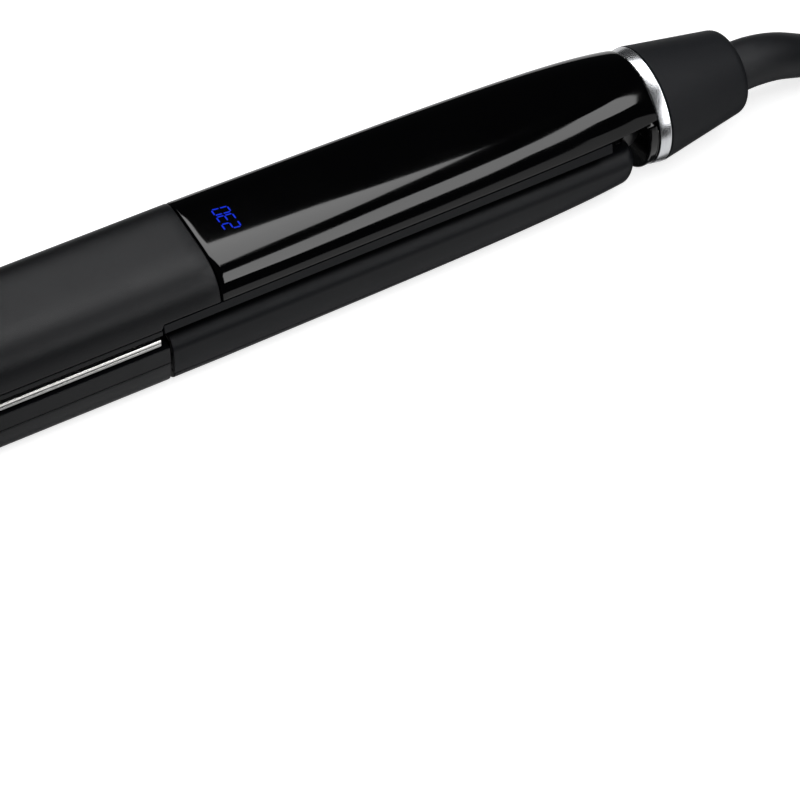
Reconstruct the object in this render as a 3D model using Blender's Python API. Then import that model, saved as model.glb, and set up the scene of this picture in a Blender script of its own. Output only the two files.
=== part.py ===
"""Hair straightener: two hinged arms with floating plates, a display handle and a swivelling cord.

X runs along the body, from the heated tip (-X) to the cord (+X), and Z is up. The lower arm rests on z = 0.
Stations along the body are measured from the seam between the front shell and the handle, and heights from
the body's long axis; place() moves them into the part's frame. All lengths are in metres.
"""

import itertools
import math

import bmesh
import bpy
import numpy as np
from mathutils import Matrix, Vector

# Driving dimensions of the body
FRONT_LENGTH = 0.1455  # tip to seam
HANDLE_LENGTH = 0.118  # seam to silver ring
RING_LENGTH = 0.0030
COLLAR_LENGTH = 0.0254
HALF_WIDTH = 0.0153
HALF_HEIGHT = 0.0165
SQUARENESS = 4.26  # exponent of the body's superellipse outline
ROUNDING_POWER = 4.0  # how late the outline turns round towards the ring
RING_RADIUS = 0.0149
COLLAR_END_RADIUS = 0.0106
FLAT_SHARE = 0.33  # share of the half width that is flat on top and underneath
SHELL_WALL = 0.0018
GAP = 0.0003  # between pieces that touch

# Where the two arms part, as heights above the body's axis
PLANE_Z = 0.0011  # the plates meet here
UPPER_RAIL_Z = 0.0041  # underside of the upper front frame
UPPER_SHELL_Z = 0.0058  # lower edge of the upper front shell
UPPER_BASE_Z = 0.00374  # inner face of the upper handle
UPPER_COVER_Z = 0.0072  # lower edge of the gloss cover
LOWER_RAIL_Z = -0.0009  # top edge of the lower front frame
LOWER_SHELL_Z = -0.0062  # upper edge of the lower front shell
LOWER_HANDLE_Z = 0.0006  # inner face of the lower handle
LOWER_COVER_Z = -0.0106  # upper edge of the lower handle's cover

# Front of the arms
TIP_CAP_LENGTH = 0.013
TIP_CAP_GAP = 0.0013  # each cap's distance from the plates' plane
TIP_SQUARENESS = 2.6  # exponent of the cap's rounding in side view
TIP_FULLNESS = 0.9  # how far round that curve the tip is cut off flat
PLATE_END = -0.0153  # plates, rails and frames end here
UPPER_STEP = -0.0146  # the front shell's edge steps up here
LOWER_SEAM = -0.0128  # seam between the lower front and handle
LOWER_SEAM_GAP = 0.0008
PLATE_OVERHANG = 0.0006  # the plates' edges stand in from the outline by this much
PLATE_LIP = 0.00095
PLATE_AIR = 0.00015  # half the space between the closed plates
PLATE_BODY = 0.0033
PLATE_DRAFT = 0.00015  # the lip's back slopes by this much
PLATE_SIDE_PLAY = 0.0006
FRAME_WALL = 0.0014
FRAME_TOP = 0.0096  # the frames' webs reach this far from the axis
HEATER_THICKNESS = 0.0012
HEATER_HALF_WIDTH = 0.0060
HEATER_TIP_INSET = 0.0040  # from the plate's ends
HEATER_HANDLE_INSET = 0.0030
HEATER_WIRE_RADIUS = 0.0006
PLATE_TRAVEL = {1: 0.0009, -1: 0.0006}  # how far each plate yields into its arm
CUSHION_SIZE = 0.0060
CUSHION_SETBACK = 0.012  # of each cushion from the frame's ends

# Handle
CORNER = 0.0036  # rounding of the lower handle's inner edges
BASE_FLOOR = 0.0016
BASE_WALL = 0.0020
BASE_CHAMFER = 0.0008
RIB_Y = 0.0092  # the board's ribs start this far from the centre
RIB_WIDTH = 0.0012
RIB_TOP_Z = 0.0083
BASE_END_SETBACK = 0.0140  # from the ring
BOARD_START = 0.0040
BOARD_LENGTH = 0.066
BOARD_THICKNESS = 0.0016
DISPLAY_CENTRE = 0.0091
DISPLAY_LENGTH = 0.0096
DISPLAY_HALF_WIDTH = 0.0066
BUTTON_STATIONS = {"power_button": 0.024, "minus_button": 0.042, "plus_button": 0.056}
BUTTON_RADIUS = 0.0035
BUTTON_CLEARANCE = 0.0003
BUTTON_PROUD = 0.0006
BUTTON_CHAMFER = 0.0005
BUTTON_FLANGE = 0.0011  # wider than the button by this much
BUTTON_FLANGE_THICKNESS = 0.0008
LOWER_END_SETBACK = 0.0070  # the lower arm ends this far before the ring
COVER_FLOOR = 0.0024
SIDE_LAP = 0.0040  # the handle's cavity runs this far past the cover's seam
END_ROUNDING = 0.0030
END_DRAW = 0.10  # share of the outline lost over the rounded end

# Hinge; distances along the body are from the pin's axis, and heights from the body's axis
HINGE_SETBACK = 0.0065  # pin axis to ring
PIN_RADIUS = 0.0015
PIN_HALF_LENGTH = 0.0096
PIN_CLEARANCE = 0.0003
BARREL_RADIUS = 0.0052
BARREL_NEAR, BARREL_FAR = -0.0064, 0.0028
BARREL_BLOCK_DROP = 0.0045  # underside of the block behind the barrel, below the pin
CHEEK_INNER, CHEEK_OUTER = 0.0068, 0.0090
CHEEK_RADIUS = 0.0035
CHEEK_CLEARANCE = 0.0006
CHEEK_ARC = (-50, 145)  # degrees round the pin
FOOT_LOW_Z = -0.0086
FOOT_THICKNESS = 0.0014
FOOT_FRONT, FOOT_REAR = -0.0210, -0.0070
CHEEK_REAR = [(-0.0190, FOOT_LOW_Z), (-0.0060, FOOT_LOW_Z), (-0.0030, -0.0054)]
CHEEK_FRONT = [(-0.0078, -0.0018), (-0.0190, -0.0056)]
NOTCH_FRONT = -0.0087
NOTCH_FLOOR_Z = -0.0062
DISC_THICKNESS = 0.0024
DISC_SETBACK = 0.0007  # the disc's radius is this much under the ring's
DISC_TUCK = 0.0020  # the disc narrows this far below the gloss cover's edge
SPIGOT_INSET = 0.0029  # the spigot's radius is this much under the ring's
SPIGOT_OUTER = RING_RADIUS - SPIGOT_INSET
SPIGOT_INNER = SPIGOT_OUTER - 0.0014
SPIGOT_REACH = 0.0032  # past the ring
TONGUE_FRONT = 0.0090  # the tongue runs this far under the end of the handle's base
TONGUE_THICKNESS = 0.0019
TONGUE_HALF_WIDTH = 0.0087
TONGUE_SCREWS = {"tongue_screw_near": -0.0062, "tongue_screw_far": 0.0062}
TONGUE_SCREW_SETBACK = 0.0050  # from the end of the handle's base
WIRE_RADIUS = 0.0011
LOWER_WIRE_Y = 0.0070
LOWER_WIRE_Z = -0.0070
SPRING_WIRE = 0.0004
SPRING_RADIUS = 0.0029
SPRING_TURNS = 2
SPRING_LEGS = [(-0.0068, -0.0042), (-0.0060, 0.0034)]  # ends of its legs, from the pin's axis
SCREW_HEAD_RADIUS = 0.0023
SCREW_HEAD_THICKNESS = 0.0011
SCREW_SHANK_RADIUS = 0.0012
SCREW_CLEARANCE = 0.0003
COVER_SCREWS = {"cover_screw_front": 0.020, "cover_screw_rear": 0.076}
COVER_SCREW_LENGTH = 0.0088
COVER_SCREW_SEAT = 0.0014  # depth of the head's seat
COVER_SCREW_POINT = 0.0008
POST_RADIUS = 0.0030
POST_BORE_TOP_Z = -0.0030
CUT_PAST = 0.0020  # a cutter runs this far past what it cuts
JOIN = 0.0010  # shapes that are joined run this far into each other

# Swivel and cord
EXIT_RADIUS = 0.0069  # the collar's hole
SWIVEL_CLEARANCE = 0.0004
SWIVEL_BORE = 0.0037
SWIVEL_TUBE_RADIUS = 0.0056
SWIVEL_FLANGE = 0.0026
COLLAR_END_WALL = 0.0020
COLLAR_WALL = 0.0021
COLLAR_ROUNDING = 0.0024
RING_CHAMFER = 0.0003
RETAINER_THICKNESS = 0.0016
SWIVEL_REACH = 0.0080  # the barrel runs this far into the collar past its retainer
BOOT_START_RADIUS, BOOT_END_RADIUS = 0.0064, 0.0043
BOOT_SHARE = 0.0475  # length of the route inside the boot
CORD_RADIUS = 0.0034
HANK_RUN = 0.055  # straight length of the hank's runs
HANK_INNER_RADIUS = 0.0204  # of the cord's centreline at the hank's ends
HANK_TURNS_ACROSS = 2
HANK_LAYERS = 3
HANK_CORNER = 0.7  # bevel of the hank's edges, in cord radii
HANK_END_STEPS = 14
ROUTE_SPACING = 0.0025
CORD_SPACING = 2 * ROUTE_SPACING
PLUG_HALF_WIDTH, PLUG_HALF_THICKNESS = 0.0176, 0.0068
PLUG_RELIEF, PLUG_LENGTH = 0.020, 0.034
# The plug's shape: distance from the cord's end, and its half width and half thickness there
PLUG_PROFILE = [
    (0.0, CORD_RADIUS + 0.0008, CORD_RADIUS + 0.0008),
    (PLUG_RELIEF, 0.0062, 0.0058),
    (PLUG_RELIEF + 0.003, 0.62 * PLUG_HALF_WIDTH, PLUG_HALF_THICKNESS - 0.0002),
    (PLUG_RELIEF + 0.009, 0.95 * PLUG_HALF_WIDTH, PLUG_HALF_THICKNESS),
    (PLUG_RELIEF + 0.015, PLUG_HALF_WIDTH, PLUG_HALF_THICKNESS),
    (PLUG_RELIEF + PLUG_LENGTH - 0.006, 0.82 * PLUG_HALF_WIDTH, PLUG_HALF_THICKNESS),
    (PLUG_RELIEF + PLUG_LENGTH, 0.76 * PLUG_HALF_WIDTH, PLUG_HALF_THICKNESS - 0.0010),
]
PLUG_ROUNDING = 0.55  # exponent of the plug's rounded outline
PLUG_PIN_RADIUS, PLUG_PIN_LENGTH, PLUG_PIN_SPACING = 0.0020, 0.0190, 0.0186
PLUG_PIN_TIP = 0.0010

# The cord's route from the collar: forward, sideways, and height above the resting surface
ROUTE_OUT = [
    (0.0004, 0.0000, 0.0163),
    (0.0070, 0.0000, 0.01615),
    (0.0140, 0.0000, 0.01465),
    (0.0220, 0.0000, 0.0113),
    (0.0310, 0.0000, 0.0076),
    (0.0400, 0.0000, 0.0052),
    (0.0480, 0.0000, 0.0044),
    (0.0600, 0.0000, 0.0038),
    (0.0745, 0.0000, 0.0036),
]
# the way over the hank's far end and back to the plug that lies on it
ROUTE_BACK = [
    (0.1040, -0.0034, 0.0244),
    (0.1170, -0.0034, 0.0244),
    (0.1295, -0.0034, 0.0244),
    (0.1414, -0.0066, 0.0244),
    (0.1501, -0.0153, 0.0244),
    (0.1533, -0.0272, 0.0244),
    (0.1501, -0.0391, 0.0244),
    (0.1414, -0.0478, 0.0244),
    (0.1295, -0.0510, 0.0244),
    (0.1200, -0.0490, 0.0249),
    (0.1100, -0.0431, 0.0261),
    (0.1010, -0.0374, 0.0273),
    (0.0950, -0.0353, 0.0278),
    (0.0906, -0.0352, 0.0278),
]

ARC_STEPS = 6  # points from an edge to the flat of an outline
ROUND_STEPS = 32
SMALL_STEPS = 20
PLUG_STEPS = 24

SEAM_X = (FRONT_LENGTH - HANDLE_LENGTH - RING_LENGTH - COLLAR_LENGTH) / 2
RING_END = HANDLE_LENGTH + RING_LENGTH
COLLAR_END = RING_END + COLLAR_LENGTH
HINGE_X = HANDLE_LENGTH - HINGE_SETBACK
CAP_START = -FRONT_LENGTH + TIP_CAP_LENGTH
LOWER_END = HANDLE_LENGTH - LOWER_END_SETBACK
BASE_END = HANDLE_LENGTH - BASE_END_SETBACK
BOARD_LOW_Z = RIB_TOP_Z + GAP
WIRE_Z = BOARD_LOW_Z + BOARD_THICKNESS / 2
TONGUE_LOW_Z = UPPER_BASE_Z + BASE_FLOOR + GAP
TONGUE_HIGH_Z = TONGUE_LOW_Z + TONGUE_THICKNESS
TONGUE_SCREW_X = BASE_END - TONGUE_SCREW_SETBACK
SWIVEL_BORE_END = COLLAR_END - COLLAR_END_WALL


# --- the body's outline ---------------------------------------------------------------------------


def section(x, inset=0.0, scale=1.0):
    """Half width, half height and squareness of the body's outline at a station, drawn in by inset."""
    share = min(max(x / HANDLE_LENGTH, 0.0), 1.0)
    half_width = HALF_WIDTH + (RING_RADIUS - HALF_WIDTH) * share
    half_height = HALF_HEIGHT + (RING_RADIUS - HALF_HEIGHT) * share
    squareness = SQUARENESS + (2.0 - SQUARENESS) * share**ROUNDING_POWER
    return half_width * scale - inset, half_height * scale - inset, squareness


def half_width_at(z, outline):
    """Half the outline's width at a height above its axis."""
    half_width, half_height, squareness = outline
    return half_width * max(0.0, 1 - abs(z / half_height) ** squareness) ** (1 / squareness)


AXIS_Z = half_width_at(
    FLAT_SHARE * HALF_WIDTH, (HALF_HEIGHT, HALF_WIDTH, SQUARENESS)
)  # height of the body's axis, from the flat underneath


def arc(outline, z_edge, side=1):
    """(y, z) points of the outline from its edge at +y, over the crown (side 1) or the belly (-1), to -y."""
    half_width, half_height, squareness = outline
    height = side * z_edge / half_height
    start = math.copysign(math.asin(min(1.0, abs(height)) ** (squareness / 2)), height)
    stop = math.acos(FLAT_SHARE ** (squareness / 2))
    half = []
    for step in range(ARC_STEPS + 1):
        turn = start + (stop - start) * step / ARC_STEPS
        y = half_width * math.cos(turn) ** (2 / squareness)
        z = half_height * math.copysign(abs(math.sin(turn)) ** (2 / squareness), turn)
        half.append((y, side * z))
    return half + [(-y, z) for y, z in reversed(half)]


def mirrored(half):
    """A profile from its right half, listed from one end of the centre line to the other."""
    return half + [(-y, z) for y, z in reversed(half)]


# --- building helpers -----------------------------------------------------------------------------


def place(x, y, z):
    """A point of the part's frame from a station, a side and a height above the axis."""
    return Vector((x + SEAM_X, y, z + AXIS_Z))


def material(name, colour, roughness, metallic=0.0):
    found = bpy.data.materials.get(name) or bpy.data.materials.new(name)
    found.use_nodes = True
    shader = found.node_tree.nodes["Principled BSDF"]
    shader.inputs["Base Color"].default_value = (*colour, 1.0)
    shader.inputs["Roughness"].default_value = roughness
    shader.inputs["Metallic"].default_value = metallic
    return found


MATTE = ("matte_shell", (0.014, 0.014, 0.016), 0.45)
SATIN = ("satin_frame", (0.018, 0.018, 0.020), 0.40)
GLOSS = ("gloss_cover", (0.003, 0.003, 0.004), 0.04)
SILVER = ("satin_silver", (0.62, 0.62, 0.64), 0.25, 1.0)
PLATE = ("coated_plate", (0.55, 0.54, 0.53), 0.22, 1.0)
STEEL = ("steel", (0.55, 0.55, 0.56), 0.30, 1.0)
CERAMIC = ("ceramic", (0.75, 0.73, 0.70), 0.60)
SILICONE = ("silicone", (0.55, 0.10, 0.06), 0.70)
BOARD = ("board", (0.010, 0.090, 0.030), 0.50)
DISPLAY = ("display", (0.005, 0.005, 0.010), 0.20)
CORD = ("cord", (0.012, 0.012, 0.013), 0.50)
NYLON = ("nylon", (0.020, 0.020, 0.022), 0.45)


def finish(name, bm, look, joint=None):
    """An object from a bmesh in the part's frame, with its origin on its joint if it has one."""
    bm.normal_update()
    bmesh.ops.triangulate(bm, faces=bm.faces)
    bmesh.ops.recalc_face_normals(bm, faces=bm.faces)
    if bm.calc_volume(signed=True) < 0:
        bmesh.ops.reverse_faces(bm, faces=bm.faces)
    origin = joint.location if joint else Vector((0, 0, 0))
    if joint and joint.parent:
        origin = origin + joint.parent.location
    bmesh.ops.translate(bm, verts=bm.verts, vec=-origin)
    mesh = bpy.data.meshes.new(name)
    bm.to_mesh(mesh)
    bm.free()
    mesh.shade_smooth()
    mesh.set_sharp_from_angle(angle=math.radians(32))
    obj = bpy.data.objects.new(name, mesh)
    bpy.context.scene.collection.objects.link(obj)
    if look:
        mesh.materials.append(material(*look))
    obj.parent = joint
    return obj


def joint_at(name, point, parent=None):
    """An empty on a joint's axis; the pieces of the moving body hang from it."""
    empty = bpy.data.objects.new(name, None)
    bpy.context.scene.collection.objects.link(empty)
    empty.location = point - parent.location if parent else point
    empty.parent = parent
    return empty


def skin(bm, rings, closed=False):
    """Side faces between rings of points, and caps on the first and last unless the row is closed."""
    verts = [[bm.verts.new(point) for point in ring] for ring in rings]
    pairs = list(zip(verts, verts[1:]))
    if closed:
        pairs.append((verts[-1], verts[0]))
    for first, second in pairs:
        for k in range(len(first)):
            after = (k + 1) % len(first)
            bm.faces.new((first[k], first[after], second[after], second[k]))
    if not closed:
        bm.faces.new(list(reversed(verts[0])))
        bm.faces.new(verts[-1])
    return bm


def loft(name, stations, profile, look, joint=None):
    """A solid along the body: profile(x) gives its (y, z) outline at each station."""
    rings = [[place(x, y, z) for y, z in profile(x)] for x in stations]
    return finish(name, skin(bmesh.new(), rings), look, joint)


def box(name, low, high, look, joint=None):
    corners = [(low[1], low[2]), (high[1], low[2]), (high[1], high[2]), (low[1], high[2])]
    return loft(name, (low[0], high[0]), lambda x: corners, look, joint)


def turned(name, profile, centre, axis, look, joint=None, steps=ROUND_STEPS):
    """A turned solid: profile lists (along, radius) round a closed outline that may touch the axis."""
    bm = bmesh.new()
    frame = Vector(axis).to_track_quat("Z", "Y").to_matrix()
    rings = []
    for step in range(steps):
        turn = math.tau * (step + 0.5) / steps
        spoke = Vector((math.cos(turn), math.sin(turn), 0))
        rings.append([centre + frame @ (spoke * r + Vector((0, 0, along))) for along, r in profile])
    skin(bm, rings, closed=True)
    bmesh.ops.remove_doubles(bm, verts=bm.verts, dist=1e-7)
    bmesh.ops.dissolve_degenerate(bm, edges=bm.edges, dist=1e-7)
    return finish(name, bm, look, joint)


def rod(name, centre, axis, radius, low, high, look, joint=None, steps=SMALL_STEPS):
    """A plain cylinder along axis, from low to high."""
    profile = [(low, 0.0), (low, radius), (high, radius), (high, 0.0)]
    return turned(name, profile, centre, axis, look, joint, steps)


def extruded(name, side_view, low_y, high_y, look, joint=None):
    """A plate cut to a side view of (x, z) points, from low_y to high_y."""
    rings = [[place(x, y, z) for x, z in side_view] for y in (low_y, high_y)]
    return finish(name, skin(bmesh.new(), rings), look, joint)


def combine(target, others, operation, solver="EXACT"):
    """Adds the others to the target, or cuts them from it, and keeps them as hidden helpers."""
    for other in others:
        modifier = target.modifiers.new(other.name, "BOOLEAN")
        modifier.operation = operation
        modifier.solver = solver
        modifier.object = other
        other.hide_render = True
        other.display_type = "WIRE"
    return target


def smooth_route(points, spacing):
    """Evenly spaced points on a Catmull-Rom curve through the route's own points."""
    own = np.array([points[0], *points, points[-1]], float)
    own[0] = 2 * own[1] - own[2]
    own[-1] = 2 * own[-2] - own[-3]
    fine = []
    for a, b, c, d in zip(own, own[1:], own[2:], own[3:]):
        for t in np.linspace(0, 1, 24, endpoint=False):
            bend = (2 * a - 5 * b + 4 * c - d) * t**2 + (3 * b - a - 3 * c + d) * t**3
            fine.append(0.5 * (2 * b + (c - a) * t + bend))
    fine = np.array([*fine, own[-2]])
    along = np.concatenate([[0], np.cumsum(np.linalg.norm(np.diff(fine, axis=0), axis=1))])
    count = max(2, round(along[-1] / spacing))
    at = np.linspace(0, along[-1], count + 1)
    return [Vector([np.interp(s, along, fine[:, k]) for k in range(3)]) for s in at]


def tube(name, points, radius, look, joint=None, resolution=2):
    """A round cord or wire: a poly curve with a bevel and closed ends."""
    curve = bpy.data.curves.new(name, "CURVE")
    curve.dimensions = "3D"
    spline = curve.splines.new("POLY")
    spline.points.add(len(points) - 1)
    for spline_point, point in zip(spline.points, points):
        spline_point.co = (*point, 1.0)
    curve.bevel_depth = radius
    curve.bevel_resolution = resolution
    curve.use_fill_caps = True
    curve.materials.append(material(*look))
    obj = bpy.data.objects.new(name, curve)
    bpy.context.scene.collection.objects.link(obj)
    if joint:
        obj.parent = joint
        obj.matrix_parent_inverse = Matrix.Translation(-joint.location)
    return obj


def swept(name, points, radii, look, steps=16):
    """A round solid of changing radius along a route that runs in the plane y = 0."""
    rings = []
    for k, (centre, radius) in enumerate(zip(points, radii)):
        ahead = points[min(k + 1, len(points) - 1)] - points[max(k - 1, 0)]
        up = Vector((-ahead.z, 0, ahead.x)).normalized()
        turns = [math.tau * step / steps for step in range(steps)]
        rings.append([centre + (Vector((0, 1, 0)) * math.cos(t) + up * math.sin(t)) * radius for t in turns])
    return finish(name, skin(bmesh.new(), rings), look)


# --- front of the arms ----------------------------------------------------------------------------


def shell_profile(x, z_edge, side):
    """A shell's wall: its outer arc and, back again, its inner arc."""
    return arc(section(x), z_edge, side) + list(reversed(arc(section(x, SHELL_WALL), z_edge, side)))


def frame_half_width():
    """Half width of a front frame where it lies inside its shell."""
    return half_width_at(FRAME_TOP, section(0.0, SHELL_WALL)) - GAP


def frame_profile(side, rail_z, shell_z):
    """A front frame: rails flush with the outline, and a channel that holds the plate and its heater."""
    wall = frame_half_width()
    inner = wall - FRAME_WALL
    ledge = shell_z - side * GAP
    outer = half_width_at(rail_z, section(0.0))
    half = [(inner, rail_z), (outer, rail_z), (half_width_at(ledge, section(0.0)), ledge)]
    half += [(wall, ledge), (wall, side * FRAME_TOP)]
    top = mirrored(half)
    web = side * (FRAME_TOP - FRAME_WALL)
    return top + [(-inner, web), (inner, web)]


def plate_profile(side):
    """A plate: a wide lip at the contact face and a narrower body behind it."""
    lip = HALF_WIDTH - PLATE_OVERHANG
    body = frame_half_width() - FRAME_WALL - PLATE_SIDE_PLAY
    face = PLANE_Z + side * PLATE_AIR
    lip_back = face + side * PLATE_LIP
    root = lip_back + side * PLATE_DRAFT
    body_back = lip_back + side * PLATE_BODY
    return mirrored([(lip, face), (lip, lip_back), (body, root), (body, body_back)])


def cap_profile(side):
    """A tip cap's outline at each station, rounding off towards the tip."""

    def profile(x):
        share = (CAP_START - x) / TIP_CAP_LENGTH
        scale = (1 - (TIP_FULLNESS * max(share, 0.0)) ** TIP_SQUARENESS) ** (1 / TIP_SQUARENESS)
        return arc(section(x, scale=scale), PLANE_Z + side * TIP_CAP_GAP, side)

    return profile


def wire_start(side):
    """Where a heater's wires leave it, clear of the plate at the end of its travel."""
    clear = plate_profile(side)[3][1] + side * (PLATE_TRAVEL[side] + GAP + HEATER_WIRE_RADIUS)
    return place(PLATE_END - HEATER_HANDLE_INSET + GAP, 0, clear)


def build_front(side, prefix, joint, plate_joint):
    """One arm's heated front: shell, frame, plate, heater, cushions and tip cap."""
    rail_z, shell_z, end = (
        (UPPER_RAIL_Z, UPPER_SHELL_Z, PLATE_END + GAP)
        if side > 0
        else (LOWER_RAIL_Z, LOWER_SHELL_Z, LOWER_SEAM - LOWER_SEAM_GAP)
    )
    start = CAP_START + GAP
    if side > 0:
        stations = [start, start / 2, UPPER_STEP - GAP, UPPER_STEP, -GAP / 2]
        loft(
            f"{prefix}_front_shell",
            stations,
            lambda x: shell_profile(x, shell_z if x < UPPER_STEP - GAP / 2 else UPPER_COVER_Z, side),
            MATTE,
            joint,
        )
    else:
        loft(
            f"{prefix}_front_shell",
            [start, start / 2, end],
            lambda x: shell_profile(x, shell_z, side),
            MATTE,
            joint,
        )
    loft(f"{prefix}_front_frame", [start, end], lambda x: frame_profile(side, rail_z, shell_z), SATIN, joint)
    cap_shares = (0.0, 0.25, 0.5, 0.7, 0.85, 0.95, 1.0)
    cap_stations = [CAP_START - share * TIP_CAP_LENGTH for share in cap_shares]
    loft(f"{prefix}_tip_cap", cap_stations, cap_profile(side), SATIN, joint)

    plate_start = CAP_START + 4 * GAP
    loft(f"{prefix}_plate", [plate_start, PLATE_END], lambda x: plate_profile(side), PLATE, plate_joint)
    back = abs(plate_profile(side)[3][1] + side * GAP)
    web = FRAME_TOP - FRAME_WALL
    heater = sorted((side * back, side * (back + HEATER_THICKNESS)))
    box(
        f"{prefix}_heater",
        (plate_start + HEATER_TIP_INSET, -HEATER_HALF_WIDTH, heater[0]),
        (PLATE_END - HEATER_HANDLE_INSET, HEATER_HALF_WIDTH, heater[1]),
        CERAMIC,
        plate_joint,
    )
    cushion = sorted((side * back, side * (web - GAP)))
    cushion_inner = HEATER_HALF_WIDTH + GAP
    cushion_outer = frame_half_width() - FRAME_WALL - PLATE_SIDE_PLAY
    ends = {"tip": CAP_START + CUSHION_SETBACK, "handle": PLATE_END - CUSHION_SETBACK}
    edges = {"far": (cushion_inner, cushion_outer), "near": (-cushion_outer, -cushion_inner)}
    for (end_name, centre), (edge, (low_y, high_y)) in itertools.product(ends.items(), edges.items()):
        box(
            f"{prefix}_cushion_{end_name}_{edge}",
            (centre - CUSHION_SIZE / 2, low_y, cushion[0]),
            (centre + CUSHION_SIZE / 2, high_y, cushion[1]),
            SILICONE,
            joint,
        )


# --- upper handle ---------------------------------------------------------------------------------


def base_profile(x):
    """The upper handle's base: a tray with two ribs that carry the board."""
    outline = section(x)
    low, high = UPPER_BASE_Z, UPPER_COVER_Z - GAP / 2
    floor = low + BASE_FLOOR
    edge = half_width_at(high, outline)
    return mirrored(
        [
            (half_width_at(low, outline) - BASE_CHAMFER, low),
            (half_width_at(low, outline), low + BASE_CHAMFER),
            (edge, high),
            (edge - BASE_WALL, high),
            (edge - BASE_WALL, floor),
            (RIB_Y + RIB_WIDTH, floor),
            (RIB_Y + RIB_WIDTH, RIB_TOP_Z),
            (RIB_Y, RIB_TOP_Z),
            (RIB_Y, floor),
        ]
    )


def build_upper_handle(joint):
    """Gloss cover, base, board, display and wires of the upper handle."""
    cover_stations = [GAP / 2 + (HANDLE_LENGTH - 1.5 * GAP) * share for share in np.linspace(0, 1, 8)]
    loft(
        "upper_gloss_cover",
        cover_stations,
        lambda x: shell_profile(x, UPPER_COVER_Z + GAP / 2, 1),
        GLOSS,
        joint,
    )

    base_stations = [UPPER_STEP, *np.linspace(0.0, BASE_END, 5)]
    base = loft("upper_handle_base", base_stations, base_profile, SATIN, joint)
    low, high = UPPER_BASE_Z - CUT_PAST, UPPER_BASE_Z + BASE_FLOOR + CUT_PAST
    up = (0, 0, 1)
    radius = BUTTON_RADIUS + BUTTON_CLEARANCE
    holes = [
        rod(f"cutter_{name}", place(x, 0, 0), up, radius, low, high, None)
        for name, x in BUTTON_STATIONS.items()
    ]
    radius = SCREW_SHANK_RADIUS + SCREW_CLEARANCE
    holes += [
        rod(f"cutter_tongue_{name}", place(TONGUE_SCREW_X, y, 0), up, radius, low, high, None)
        for name, y in TONGUE_SCREWS.items()
    ]
    combine(base, holes, "DIFFERENCE")

    board_high = BOARD_LOW_Z + BOARD_THICKNESS
    box(
        "control_board",
        (BOARD_START, -RIB_Y - RIB_WIDTH, BOARD_LOW_Z),
        (BOARD_START + BOARD_LENGTH, RIB_Y + RIB_WIDTH, board_high),
        BOARD,
        joint,
    )
    roof = half_width_at(
        DISPLAY_HALF_WIDTH, (HALF_HEIGHT - SHELL_WALL, HALF_WIDTH - SHELL_WALL, SQUARENESS)
    )
    box(
        "display_module",
        (DISPLAY_CENTRE - DISPLAY_LENGTH / 2, -DISPLAY_HALF_WIDTH, board_high + GAP),
        (DISPLAY_CENTRE + DISPLAY_LENGTH / 2, DISPLAY_HALF_WIDTH, roof - 2 * GAP),
        DISPLAY,
        joint,
    )
    supply = [
        place(BOARD_START + BOARD_LENGTH + GAP, 0, WIRE_Z),
        place(HINGE_X, 0, WIRE_Z),
        place(RING_END + 0.004, 0, WIRE_Z),
    ]
    tube("supply_wires", supply, WIRE_RADIUS, CORD, joint)
    start = wire_start(1)
    heater_wires = [
        start,
        Vector((start.x / 2, start.y, start.z)),
        place(BOARD_START - 10 * GAP, 0, WIRE_Z - HEATER_WIRE_RADIUS),
        place(BOARD_START - GAP, 0, WIRE_Z),
    ]
    tube("upper_heater_wires", heater_wires, HEATER_WIRE_RADIUS, SILICONE, joint)


def build_buttons(arm):
    """Buttons on the inner face of the upper handle, each on its own slide joint."""
    for name, x in BUTTON_STATIONS.items():
        joint = joint_at(f"{name}_joint", place(x, 0, UPPER_BASE_Z), arm)
        flange_low = BASE_FLOOR + GAP
        flange_high = flange_low + BUTTON_FLANGE_THICKNESS
        face = -BUTTON_PROUD
        turned(
            name,
            [
                (face, 0.0),
                (face, BUTTON_RADIUS - BUTTON_CHAMFER),
                (face + BUTTON_CHAMFER, BUTTON_RADIUS),
                (flange_low, BUTTON_RADIUS),
                (flange_low, BUTTON_RADIUS + BUTTON_FLANGE),
                (flange_high, BUTTON_RADIUS + BUTTON_FLANGE),
                (flange_high, 0.0),
            ],
            place(x, 0, UPPER_BASE_Z),
            (0, 0, 1),
            NYLON,
            joint,
            steps=24,
        )


# --- lower handle ---------------------------------------------------------------------------------


def end_scale(x):
    """Rounds the lower handle's outline off over its last stretch."""
    share = max(0.0, (x - LOWER_END + END_ROUNDING) / END_ROUNDING)
    return 1 - END_DRAW * (1 - math.sqrt(max(0.0, 1 - share**2)))


def lower_shell_outline(x, inset=0.0):
    """The lower handle's shell: a rounded inner face, and sides down to the cover's seam."""
    outline = section(x, inset, end_scale(x))
    top = LOWER_HANDLE_Z - inset
    corner = CORNER - inset
    centre_z = top - corner
    side = half_width_at(centre_z, outline)
    half = []
    for turn in np.linspace(math.pi / 2, 0, 4):
        half.append((side - corner + corner * math.cos(turn), centre_z + corner * math.sin(turn)))
    lowest = LOWER_COVER_Z + (inset / 2)
    for z in np.linspace(centre_z, lowest, 4)[1:]:
        half.append((half_width_at(z, outline), z))
    if inset:
        half.append((half[-1][0], LOWER_COVER_Z - SIDE_LAP))
    return mirrored(half)


def lower_cover_profile(x):
    return arc(section(x, scale=end_scale(x)), LOWER_COVER_Z - GAP, -1)


def cover_floor_z(x):
    """Height of the cover's flat underside at a station."""
    half_width, half_height, squareness = section(x)
    return -half_width_at(FLAT_SHARE * half_width, (half_height, half_width, squareness))


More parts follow.
